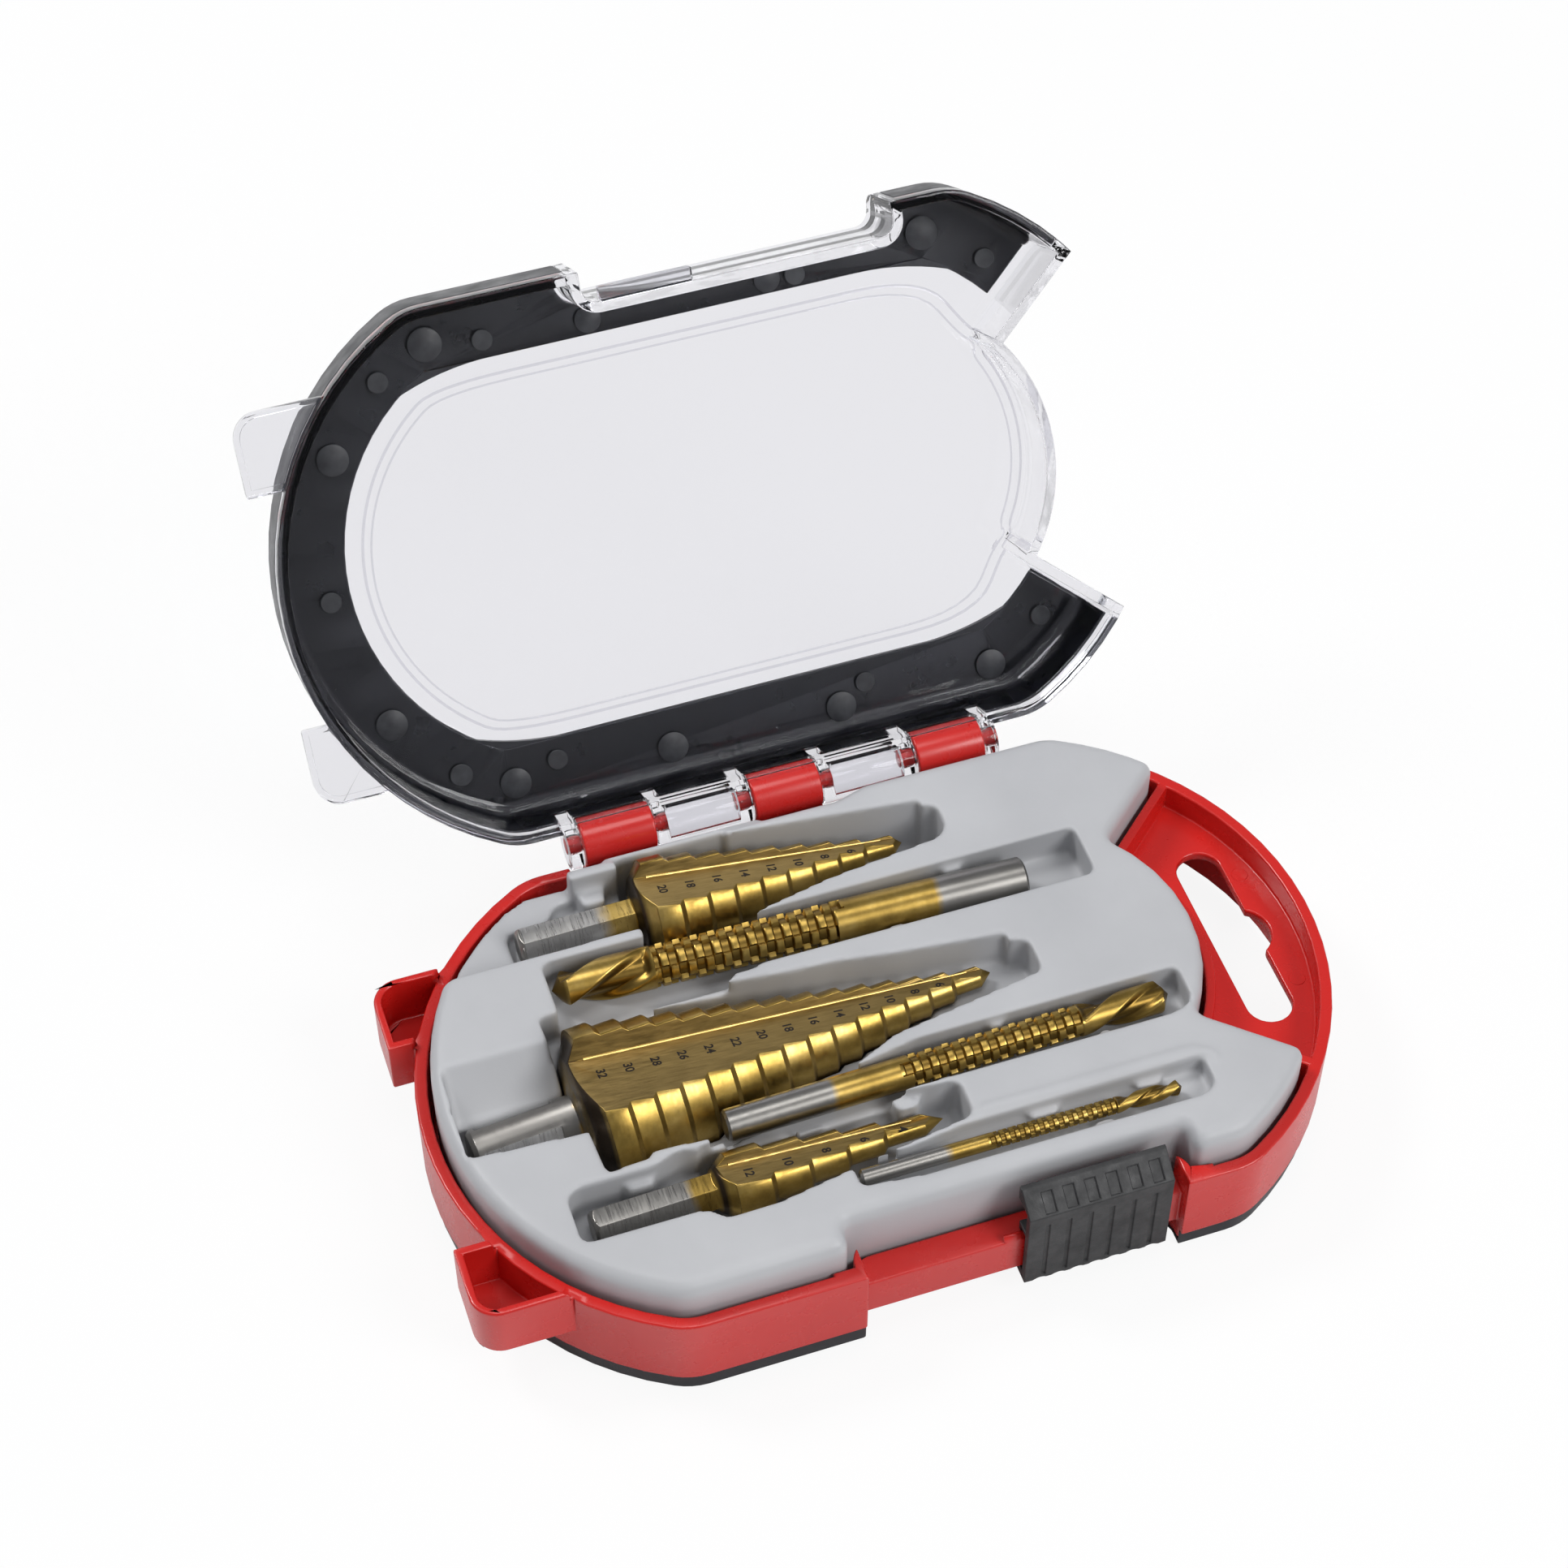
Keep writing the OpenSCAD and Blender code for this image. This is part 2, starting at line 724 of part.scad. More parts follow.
// Saw drill: plain shank, rasp grooves over a stretch, twist flutes and a point
module saw_drill(d, len, pitch) {
    r = d / 2;
    rasp_from = len * saw_shank_share;
    rasp_len = len * saw_rasp_share;
    q = r * rasp_depth;
    n = floor(rasp_len / pitch);
    flute_len = len - rasp_from - rasp_len;
    difference() {
        rotate_extrude() polygon(concat(
            [[0, 0], [r - 0.3, 0], [r, 0.3]],
            [for (i = [0:n - 1], k = [0:3]) [k == 0 || k == 3 ? r : r - q,
                rasp_from + i * pitch + [0, 0.25, 0.65, 1][k] * pitch * 0.55]],
            [[r, len - r * 0.6], [0, len]]));
        translate([0, 0, len - flute_len]) for (a = [0, 180])
            linear_extrude(flute_len + 1, twist = -flute_len / d * 110, slices = 8)
                rotate([0, 0, a]) translate([r * 0.95, 0]) circle(r * 0.62, $fn = 10);
    }
}

module saw_drill_8() {
    color("#b98a2c") along_drill(place_8) saw_drill(saw_8_d, saw_8_len, 3.3);
}

module saw_drill_6() {
    color("#b98a2c") along_drill(place_6) saw_drill(saw_6_d, saw_6_len, 3.2);
}

module saw_drill_3() {
    color("#b98a2c") along_drill(place_3) saw_drill(saw_3_d, saw_3_len, 1.8);
}

// ---- tray ----

// Where the ray from a along u leaves the circle of radius r around c
function hit(a, u, c, r) =
    let (b = (a - c) * u)
    a + u * (sqrt(b * b - (a - c) * (a - c) + r * r) - b);

function unit(v) = v / norm(v);

// Points with every clear corner rounded, taking up to t of the edges beside it
function soften(points, t) =
    let (n = len(points))
    [for (i = [0:n - 1])
        let (
            b = points[i],
            a = points[(i + n - 1) % n] - b,
            c = points[(i + 1) % n] - b,
            k = min(t, norm(a) * 0.45, norm(c) * 0.45),
            bent = unit(a) * unit(c) > -0.94
        )
        for (s = bent ? [0, 0.3, 0.7, 1] : [0.5])
            bent ? b + k * (pow(1 - s, 2) * unit(a) + s * s * unit(c)) : b];

// Points of a ring that runs anticlockwise, each edge moved in by d
function inset(points, d) =
    let (n = len(points))
    [for (i = [0:n - 1])
        let (
            u = unit(points[i] - points[(i + n - 1) % n]),
            v = unit(points[(i + 1) % n] - points[i])
        )
        points[i] + d * [-u[1] - v[1], u[0] + v[0]] / (1 + u * v)];

// Points around the tray: the case outline with the cut right end and the latch recess
function tray_points() =
    let (
        all = outline_points(tray_in),
        u = [cos(slant_angle), sin(slant_angle)],
        start = [notch_x - tray_cut * u[1], notch_y + tray_cut * u[0]],
        notch = hit(start - 6 * u, u, [bulge_c, 0], bulge_r - tray_cut),
        tip = hit(start, u, [end_c, 0], end_r - tray_in),
        bend = atan2(notch[1], notch[0] - bulge_c),
        tip_turn = atan2(tip[1], tip[0] - end_c) + 2,
        front = tray_in - half_w,
        rear = half_w - tray_in,
        y1 = recess_y + recess_clear
    )
    concat(
        [[tip[0], -tip[1]]],
        [for (i = [-4:4]) [bulge_c, 0] + (bulge_r - tray_cut) * [cos(bend * i / 4), sin(bend * i / 4)]],
        [tip],
        [for (p = all) if (p[0] > 0 && p[1] > 0 && atan2(p[1], p[0] - end_c) > tip_turn) p],
        [[hinge_step_x + 6, rear], [hinge_step_x, rear - hinge_step]],
        [for (p = all) if (p[0] < 0) [p[0], min(p[1], rear - hinge_step)]],
        [[recess_x0 - recess_clear, front], [recess_x0 - recess_clear, y1]],
        [[recess_x1 + recess_clear, y1], [recess_x1 + recess_clear, front]],
        [for (p = all) if (p[0] > 0 && p[1] < 0 && atan2(-p[1], p[0] - end_c) > tip_turn) p]
    );

// Solid between rings of points, given as [points, height], from the bottom up
module ringed(rings) {
    n = len(rings[0][0]);
    polyhedron([for (k = rings, p = k[0]) [p[0], p[1], k[1]]], concat(
        [[for (i = [0:n - 1]) i]],
        [for (k = [0:len(rings) - 2], i = [0:n - 1])
            [k * n + i, (k + 1) * n + i, (k + 1) * n + (i + 1) % n, k * n + (i + 1) % n]],
        [[for (i = [n - 1:-1:0]) (len(rings) - 1) * n + i]]
    ));
}

module tray() {
    outer = soften(tray_points(), 2);
    r = tray_edge_r;
    color("#b9bbbe") {
        intersection() {
            difference() {
                translate([-far / 2, -far / 2, tray_z]) cube([far, far, tray_top - tray_z]);
                low_corner();
                pocket_32();
                pocket_20();
                pocket_12();
                pocket_8();
                pocket_6();
                pocket_3();
            }
            ringed(concat(
                [[outer, tray_z - 1]],
                [for (i = [0:edge_steps]) let (t = 90 * i / edge_steps)
                    [inset(outer, r * (1 - cos(t))), tray_top - r + r * sin(t)]],
                [[inset(outer, r), tray_top + 1]]
            ));
        }
        bead();
    }
}

// Straight-sided hollow from height z up, with rounded corners
module hollow(z, points, t = 1.5) {
    translate([0, 0, z]) linear_extrude(far) polygon(soften(points, t));
}

// Stepped-down corner at the rear left, and the step beside it
module low_corner() {
    y = half_w - low_y;
    hollow(rim_z + low_land_rise,
        [[-far, y], [low_x, y], [low_x, half_w - 11], [low_x + 4, far], [-far, far]]);
}

// Long pocket straight down from a drill, w0 to each side at a and w1 at b along its axis
module drill_pocket(place, a, b, w0, w1, floor_z) {
    p = place[0];
    translate([p[0], p[1], floor_z]) rotate([0, 0, place[1]]) linear_extrude(far)
        polygon([[a, -w0], [b, -w1], [b, w1], [a, w0]]);
}

module pocket_32() {
    p = place_32;
    x = p[0][0];
    y = p[0][1];
    z = p[0][2];
    g = seat_gap;
    along_drill(p) step_body(step_r_32, step_r_32 - last_step_r + 1, pitch_32,
        shank_32_len, shank_32_r, tip_32_len, g);
    along_drill(p) translate([0, 0, -1.5]) cylinder(h = shank_32_len, r = shank_32_r + g);
    drill_pocket(p, shank_32_len - 3.4, shank_32_len + pitch_32, 17.5, 17.5, z + 1);
    drill_pocket(p, shank_32_len + pitch_32, 104, 16.6, 3, z + 1);
    // body: the front edge has a finger bay, and the rear edge runs out in a gentle bend
    hollow(z + 1, [[x + 19, y + 8], [x + 21.5, y - 7], [x + 22, y - 15], [x + 30, y - 14.6],
        [x + 38.5, y - 15], [x + 67, y - 9.1], [x + 77, y - 4.6], [x + 107, y + 0.2], [x + 107, y + 7.4],
        [x + 87, y + 11.6], [x + 72, y + 13.9], [x + 53, y + 14.9], [x + 22, y + 15.4]]);
    drill_pocket(p, -1.6, shank_32_len, 5.4, 5.4, z);
    hollow(z + 1.5, [[x - 1.8, y - 5.8], [x + 22, y - 7.2], [x + 22, y + 6.6], [x - 1.8, y + 6.6]]);
    // slope from the land down to the shank
    translate([x - 1.5, 0, 0]) rotate([90, 0, 90]) linear_extrude(22.5)
        polygon([[y + 6.5, z + 1.5], [y + 13.9, tray_top + e], [y + 13.9, far], [y + 2, far],
            [y + 2, z + 1.5]]);
    // lowered ridges towards the neighbours
    hollow(tray_top - ridge_drop,
        [[x + 22, y + 13], [x + 50, y + 14], [x + 56, y + 18.4], [x + 22, y + 18.4]]);
    hollow(tray_top - ridge_drop * 0.8,
        [[x + 39, y - 18], [x + 66, y - 16.4], [x + 66, y - 11], [x + 39, y - 14]]);
}

module pocket_20() {
    p = place_20;
    x = p[0][0];
    y = p[0][1];
    z = p[0][2];
    floor_z = z - hex_af / 2 - seat_gap;
    drill_pocket(p, shank_20_len - 3.5, shank_20_len + 18, 10.7, 10.2, z - 10.4);
    drill_pocket(p, shank_20_len + 18, 80, 9, 4.5, z - 8.4);
    hollow(z - 6, [[x + 22.5, y - 9], [x + 43, y - 9.6], [x + 58, y - 6.6], [x + 80.5, y - 4],
        [x + 82.5, y - 2], [x + 82.5, y + 3.4], [x + 71, y + 5.2], [x + 67, y + 4.2],
        [x + 52, y + 6.2], [x + 26, y + 9.7],
        [x + 22.5, y + 9.7]]);
    difference() {
        hollow(floor_z, [[x - 1.2, y - 4.3], [x + 8, y - 6.4], [x + 26, y - 6.4], [x + 26, y + 8],
            [x + 9, y + 8], [x + 7, y + 4.3], [x - 1.2, y + 4.3]]);
        // nibs on both sides of the shank
        nib(z + 1.5, [[x + 13, y + 9], [x + 19, y + 9], [x + 18, y + 4.3], [x + 14, y + 4.3]]);
        nib(z + 1.5, [[x + 13, y - 7], [x + 19, y - 7], [x + 18, y - 4], [x + 14, y - 4]]);
    }
}

// Small block with a rounded plan that stands up from a pocket's floor to height z
module nib(z, points) {
    linear_extrude(z) polygon(soften(points, 0.8));
}

module pocket_12() {
    p = place_12;
    x = p[0][0];
    y = p[0][1];
    z = p[0][2];
    drill_pocket(p, shank_12_len - 3.5, shank_12_len + 14, 6.7, 6.4, z - 6.3);
    difference() {
        union() {
            drill_pocket(p, shank_12_len + 14, 68, 5.4, 4, z - 4.8);
            hollow(z - hex_af / 2 - seat_gap, [[x - 3, y + 4.4], [x - 3, y - 4.4], [x - 1, y - 5.1],
                [x + 19, y - 5.1], [x + 22, y - 8], [x + 32, y - 7.6], [x + 45, y - 5.4], [x + 56, y - 3.6],
                [x + 69, y - 1.5], [x + 69, y + 6], [x + 54, y + 7.6], [x + 23, y + 6.3], [x + 18, y + 7.9],
                [x + 13, y + 5.9], [x - 1, y + 5.9]]);
        }
        nib(z + 2, [[x + 7, y + 7], [x + 13.5, y + 7], [x + 12.5, y + 4.4], [x + 8, y + 4.4]]);
        nib(z + 2.5, [[x + 56, y + 9], [x + 63, y + 9], [x + 61.5, y + 4.7], [x + 57.5, y + 4.7]]);
    }
}

module pocket_8() {
    p = place_8;
    x = p[0][0];
    y = p[0][1];
    z = p[0][2];
    end_x = x - saw_8_len - end_gap;
    difference() {
        hollow(z - saw_8_d / 2 - seat_gap, [[end_x, y - 5.5], [x - 55, y - 5.6], [x - 52, y - 4.7],
            [x + 12.2, y - 4.7], [x + 12.2, y + 6.4], [x - 50, y + 6.4], [x - 56, y + 7.6],
            [end_x, y + 7.6]]);
        nib(z + 1, [[x - 29.3, y - 6], [x - 23.3, y - 6], [x - 24.3, y - 3.4], [x - 28.3, y - 3.4]]);
        nib(z + 1, [[x - 14.8, y + 8], [x - 9.3, y + 8], [x - 10.3, y + 5], [x - 13.8, y + 5]]);
    }
}

module pocket_6() {
    p = place_6;
    x = p[0][0];
    y = p[0][1];
    z = p[0][2];
    end_x = x + saw_6_len + 2.9;
    difference() {
        hollow(z - saw_6_d / 2 - seat_gap, [[x - 0.9, y - 4.2], [end_x - 3, y - 3.7], [end_x, y - 2],
            [end_x, y + 5.5], [x + 38, y + 5.5], [x + 29, y + 3.9], [x + 24, y + 3.4],
            [x - 0.9, y + 3.4]]);
        nib(z + 1, [[x + 37.3, y - 5], [x + 42.3, y - 5], [x + 41.3, y - 2.8], [x + 38.3, y - 2.8]]);
        nib(z + 1, [[x + 68.3, y - 5], [x + 72.3, y - 5], [x + 71.3, y - 2.4], [x + 69.3, y - 2.4]]);
        nib(z + 1, [[x + 50.3, y + 7], [x + 54.8, y + 7], [x + 53.8, y + 4.3], [x + 51.3, y + 4.3]]);
    }
}

module pocket_3() {
    p = place_3;
    x = p[0][0];
    y = p[0][1];
    z = p[0][2];
    end_x = x + saw_3_len + 5.4;
    difference() {
        hollow(z - saw_3_d / 2 - seat_gap, [[x - 0.6, y - 2.4], [x + 10, y - 3.6], [end_x - 2.4, y - 3.6],
            [end_x, y - 2], [end_x, y + 3.7], [x + 20, y + 3.7], [x + 10, y + 2.4],
            [x - 0.6, y + 1.9]], 1);
        nib(z, [[x + 31.7, y + 5], [x + 38.7, y + 5], [x + 37.7, y + 1.9], [x + 32.7, y + 1.9]]);
        nib(z, [[x + 51.7, y + 5], [x + 58.2, y + 5], [x + 57.2, y + 1.9], [x + 52.7, y + 1.9]]);
        nib(z, [[x + 41.7, y - 5], [x + 47.2, y - 5], [x + 46.2, y - 1.9], [x + 42.7, y - 1.9]]);
    }
}

// Raised bead that runs beside the smallest pocket and round its end
module bead() {
    x = place_3[0][0] + 24.7;
    y = place_3[0][1] + 5.3;
    end_x = place_3[0][0] + saw_3_len + 4;
    translate([0, 0, tray_top - e]) linear_extrude(bead_h + e) polygon(soften(
        [[x, y], [end_x, y], [end_x + 2.8, y - 1.7], [end_x + 3.6, y - 1.1], [end_x + 0.4, y + bead_w],
            [x, y + bead_w]], 0.3));
}

base_shell();
base_band();
tray();
slide_latch();
lid_shell();
lid_band();
step_drill_32();
step_drill_20();
step_drill_12();
saw_drill_8();
saw_drill_6();
saw_drill_3();
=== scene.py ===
import json
import math

import bmesh
import bpy
from mathutils import Matrix, Vector


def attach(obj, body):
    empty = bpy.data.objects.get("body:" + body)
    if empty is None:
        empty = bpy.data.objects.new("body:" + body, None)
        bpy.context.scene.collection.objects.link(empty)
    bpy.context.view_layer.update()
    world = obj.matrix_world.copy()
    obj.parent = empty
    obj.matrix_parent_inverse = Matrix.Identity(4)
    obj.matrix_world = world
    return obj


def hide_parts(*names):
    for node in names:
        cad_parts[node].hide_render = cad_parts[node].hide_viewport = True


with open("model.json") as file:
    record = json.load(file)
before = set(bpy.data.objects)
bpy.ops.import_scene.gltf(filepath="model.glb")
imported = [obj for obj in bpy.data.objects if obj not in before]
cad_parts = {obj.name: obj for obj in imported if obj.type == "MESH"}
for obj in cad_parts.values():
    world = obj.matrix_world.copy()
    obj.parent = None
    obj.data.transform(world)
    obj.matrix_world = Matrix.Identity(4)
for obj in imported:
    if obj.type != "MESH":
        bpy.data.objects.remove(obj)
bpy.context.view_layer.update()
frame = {"nodes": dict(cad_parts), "record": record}
NODES = frame["nodes"]
SCENE = bpy.context.scene
MM = 0.001


def linked(name, data):
    """Object from its data, in the scene."""
    made = bpy.data.objects.new(name, data)
    SCENE.collection.objects.link(made)
    return made


def add_node(tree, kind, inputs=(), **settings):
    """Node with its settings, its inputs linked or filled."""
    made = tree.nodes.new(kind)
    for key, value in settings.items():
        setattr(made, key, value)
    for key, value in dict(inputs).items():
        if isinstance(value, bpy.types.NodeSocket):
            tree.links.new(value, made.inputs[key])
        else:
            made.inputs[key].default_value = value
    return made


# ---------------------------------------------------------------- camera

CAMERA_AZIMUTH = math.radians(-18.75)
CAMERA_ELEVATION = math.radians(50.17)
CAMERA_PLACE = Vector((-0.13125, -0.3343, 0.5164))
FOCAL_PIXELS = 4166.76
FRAME_PIXELS = 1932
SENSOR = 36.0


def make_camera():
    """Camera at the photograph's place and angle, with no roll."""
    away = Vector((
        math.sin(CAMERA_AZIMUTH) * math.cos(CAMERA_ELEVATION),
        -math.cos(CAMERA_AZIMUTH) * math.cos(CAMERA_ELEVATION),
        math.sin(CAMERA_ELEVATION),
    ))
    side = Vector((math.cos(CAMERA_AZIMUTH), math.sin(CAMERA_AZIMUTH), 0.0))
    up = away.cross(side)
    data = bpy.data.cameras.new("studio_camera")
    data.sensor_width = SENSOR
    data.lens = SENSOR * FOCAL_PIXELS / FRAME_PIXELS
    data.clip_start = 0.01
    data.clip_end = 50.0
    place = Matrix((side, up, away)).transposed().to_4x4()
    place.translation = CAMERA_PLACE
    camera = linked("studio_camera", data)
    camera.matrix_world = place
    SCENE.camera = camera


make_camera()

# ---------------------------------------------------------------- materials


class Finish:
    """A material's node tree with its Principled shader, and short ways to add nodes to it."""

    def __init__(self, name, **sockets):
        self.material = bpy.data.materials.new(name)
        self.material.use_nodes = True
        self.tree = self.material.node_tree
        self.tree.nodes.clear()
        filled = {socket.replace("_", " "): value for socket, value in sockets.items()}
        self.shader = self.node("ShaderNodeBsdfPrincipled", filled)
        self.node("ShaderNodeOutputMaterial", {"Surface": self.shader.outputs["BSDF"]})
        self.place = self.node("ShaderNodeTexCoord").outputs["Object"]

    def node(self, kind, inputs=(), **settings):
        return add_node(self.tree, kind, inputs, **settings)

    def set(self, socket, value):
        """Link a value to a socket of the shader."""
        self.tree.links.new(value, self.shader.inputs[socket])

    def stored(self, name):
        """Number stored on the mesh under a name."""
        return self.node("ShaderNodeAttribute", attribute_name=name).outputs["Fac"]

    def sum(self, a, b):
        return self.node("ShaderNodeMath", {0: a, 1: b}, operation="ADD").outputs[0]

    def product(self, a, b):
        return self.node("ShaderNodeMath", {0: a, 1: b}, operation="MULTIPLY").outputs[0]

    def noise(self, scale, detail=3.0, rough=0.5, stretch=None):
        """Noise on Object coordinates; stretch is a scale for each axis."""
        place = self.place
        if stretch:
            place = self.node("ShaderNodeMapping", {"Vector": place, "Scale": stretch}).outputs["Vector"]
        return self.node(
            "ShaderNodeTexNoise",
            {"Vector": place, "Scale": scale, "Detail": detail, "Roughness": rough},
        ).outputs["Fac"]

    def spread(self, value, low, high, from_low=0.3, from_high=0.7):
        """value from one range to another."""
        return self.node(
            "ShaderNodeMapRange",
            {"Value": value, "From Min": from_low, "From Max": from_high, "To Min": low, "To Max": high},
        ).outputs["Result"]

    def ragged(self, value, scale, reach):
        """value shifted unevenly, up to reach either way."""
        return self.sum(value, self.spread(self.noise(scale, 3.0), -reach, reach))

    def ramp(self, value, *stops):
        """Colour by value, from stops of (place, colour)."""
        made = self.node("ShaderNodeValToRGB", {"Fac": value})
        ends = made.color_ramp.elements
        while len(ends) < len(stops):
            ends.new(0.5)
        for end, (place, colour) in zip(ends, stops):
            end.position = place
            end.color = (*colour, 1.0)
        return made.outputs["Color"]

    def mix(self, share, a, b):
        """Colour a where share is 0, b where it is 1."""
        a, b = (side if isinstance(side, bpy.types.NodeSocket) else (*side, 1.0) for side in (a, b))
        return self.node("ShaderNodeMix", {0: share, 6: a, 7: b}, data_type="RGBA").outputs[2]

    def bump(self, height, distance, strength):
        """Fine relief from a height."""
        inputs = {"Height": height, "Distance": distance, "Strength": strength}
        self.set("Normal", self.node("ShaderNodeBump", inputs).outputs["Normal"])


def red_plastic():
    """Glossy moulded red, a little mottled, with fine handling marks."""
    f = Finish("red_plastic", IOR=1.5, Coat_Weight=0.15, Coat_Roughness=0.08)
    f.set("Base Color", f.ramp(f.noise(28.0, 3.0), (0.3, (0.56, 0.012, 0.009)), (0.75, (0.61, 0.016, 0.012))))
    f.set("Roughness", f.spread(f.noise(120.0, 4.0, 0.6), 0.24, 0.31))
    f.bump(f.noise(1400.0, 2.0), 0.00002, 0.12)
    return f.material


def grey_plastic():
    """Satin light grey with a fine grain and slight clouding."""
    f = Finish("grey_plastic", IOR=1.46)
    f.set("Base Color", f.ramp(f.noise(35.0, 5.0), (0.3, (0.44, 0.445, 0.46)), (0.75, (0.50, 0.505, 0.52))))
    f.set("Roughness", f.spread(f.noise(260.0, 4.0), 0.42, 0.55))
    f.bump(f.noise(1500.0, 3.0, 0.6), 0.00004, 0.3)
    return f.material


def band_plastic():
    """Near-black plastic with a faint blue cast and worn gloss."""
    f = Finish("band_plastic", IOR=1.5)
    f.set("Base Color", f.ramp(
        f.noise(45.0, 6.0, 0.6), (0.35, (0.003, 0.0035, 0.007)), (0.8, (0.006, 0.0065, 0.012)),
    ))
    f.set("Roughness", f.spread(f.noise(200.0, 5.0), 0.25, 0.42))
    f.bump(f.noise(700.0, 3.0), 0.00003, 0.25)
    return f.material


def latch_plastic():
    """Satin black plastic, dusty along its grain."""
    f = Finish("latch_plastic", IOR=1.48)
    f.set("Base Color", f.ramp(
        f.noise(120.0, 6.0, 0.7), (0.3, (0.016, 0.016, 0.017)), (0.8, (0.048, 0.048, 0.049)),
    ))
    f.set("Roughness", f.spread(f.noise(500.0, 4.0), 0.42, 0.62))
    f.bump(f.noise(1800.0, 3.0, 0.7), 0.00008, 0.5)
    return f.material


def clear_plastic():
    """Clear plastic with a faint violet cast, ripples from moulding and fine scuffs."""
    f = Finish(
        "clear_plastic", IOR=1.2, Transmission_Weight=1.0, Base_Color=(0.815, 0.812, 0.842, 1.0),
        Coat_Weight=0.3, Coat_Roughness=0.03,
    )
    f.set("Roughness", f.spread(f.noise(90.0, 6.0, 0.7), 0.0, 0.06, 0.45, 0.8))
    f.bump(f.noise(40.0, 1.0), 0.0002, 0.05)
    return f.material


def gold_steel():
    """Gold nitride coating over ground steel, with grinding lines and brown heat tints."""
    f = Finish("gold_steel", Metallic=1.0, IOR=1.5)
    cloud = f.noise(130.0, 5.0, 0.65)
    f.set("Base Color", f.ramp(
        cloud, (0.25, (0.40, 0.245, 0.060)), (0.5, (0.62, 0.42, 0.125)), (0.8, (0.74, 0.54, 0.20)),
    ))
    f.set("Roughness", f.spread(f.noise(600.0, 5.0, 0.7), 0.22, 0.42))
    f.bump(f.noise(2600.0, 2.0, 0.6), 0.00003, 0.3)
    return f.material


def gold_colour(f):
    """Uneven gold of the coating: brown in the low tones, pale in the high ones."""
    cloud = f.noise(110.0, 5.0, 0.65)
    return f.ramp(
        cloud, (0.25, (0.20, 0.125, 0.028)), (0.5, (0.40, 0.265, 0.066)), (0.8, (0.60, 0.43, 0.145)),
    )


def steel_grain(f, low, high):
    """Grinding lines around a drill that vary its roughness and catch the light."""
    fine = f.noise(1.0, 3.0, 0.6, (1500.0, 420.0, 420.0))
    f.set("Roughness", f.spread(fine, low, high))
    f.bump(fine, 0.00002, 0.07)


def drill_steel(name, bare, gold, dark, neck):
    """Step drill: bare ground shank, gold from there on, and a dark collar under the first step.

    Along the drill the shank is bare up to bare, all gold from gold on, and the collar ends at dark.
    The collar shows where the drill is wider than neck, a radius. All in mm.
    """
    f = Finish(name, Metallic=1.0, IOR=1.5)
    along = f.stored("along")
    across = f.stored("across")
    coated = f.spread(f.ragged(along, 260.0, 0.7), 0.0, 1.0, bare, gold)
    steel = f.ramp(f.noise(60.0, 3.0, 0.5), (0.3, (0.25, 0.238, 0.222)), (0.75, (0.34, 0.326, 0.305)))
    colour = f.mix(coated, steel, gold_colour(f))
    on_cone = f.spread(along, 0.0, 1.0, gold - 0.6, gold + 0.4)
    before_step = f.spread(along, 1.0, 0.0, dark - 0.3, dark + 0.5)
    wide = f.spread(across, 0.0, 1.0, neck - 0.3, neck + 0.2)
    collar = f.product(f.product(on_cone, before_step), wide)
    f.set("Base Color", f.mix(collar, colour, (0.055, 0.038, 0.024)))
    steel_grain(f, 0.28, 0.40)
    return f.material


def saw_steel(name, bare, radius):
    """Saw drill: bare shank, plain gold stretch, and painted shade, a dark brown, in the hollows between the
    teeth and in the flutes.
    """
    f = Finish(name, Metallic=1.0, IOR=1.5)
    along = f.stored("along")
    across = f.stored("across")
    coated = f.spread(f.ragged(along, 200.0, 0.5), 0.0, 1.0, bare - 0.6, bare + 0.8)
    steel = f.ramp(f.noise(60.0, 3.0, 0.5), (0.3, (0.24, 0.230, 0.214)), (0.75, (0.33, 0.318, 0.298)))
    # painted shade: nearer the axis, in the hollows between the teeth and in the tip's flutes, the gold turns
    # dark brown
    high = f.spread(across, 0.0, 1.0, radius * 0.77, radius * 0.96)
    gold = f.mix(high, (0.20, 0.125, 0.030), gold_colour(f))
    f.set("Base Color", f.mix(coated, steel, gold))
    steel_grain(f, 0.29, 0.37)
    return f.material


def ground_gold(name, low, high):
    """Coated face with the coarse lines of the grinding wheel along it."""
    f = Finish(name, Metallic=1.0, IOR=1.5)
    lines = f.noise(1.0, 5.0, 0.7, (220.0, 2400.0, 900.0))
    f.set("Base Color", f.ramp(lines, (0.3, low), (0.75, high)))
    f.set("Roughness", f.spread(lines, 0.30, 0.50))
    f.bump(lines, 0.00005, 0.3)
    return f.material


def shank_flat(name, bare, gold, low, high):
    """Ground flat of a shank with fine lines across it, gold past the limit of the coating; its steel tones
    low and high also carry painted highlight on the lighter flats.
    """
    f = Finish(name, Metallic=1.0, IOR=1.5)
    along = f.stored("along")
    lines = f.noise(1.0, 3.0, 0.6, (2600.0, 160.0, 160.0))
    steel = f.ramp(lines, (0.3, low), (0.7, high))
    coated = f.spread(f.ragged(along, 260.0, 0.7), 0.0, 1.0, bare, gold)
    f.set("Base Color", f.mix(coated, steel, gold_colour(f)))
    f.set("Roughness", f.spread(lines, 0.22, 0.42))
    f.bump(lines, 0.00002, 0.06)
    return f.material


def ink():
    """Laser-marked figures: dark brown and dull."""
    f = Finish("figure_mark", IOR=1.4)
    f.set("Base Color", f.ramp(
        f.noise(900.0, 3.0), (0.3, (0.008, 0.005, 0.004)), (0.8, (0.020, 0.014, 0.009)),
    ))
    f.set("Roughness", f.spread(f.noise(600.0), 0.5, 0.7))
    return f.material


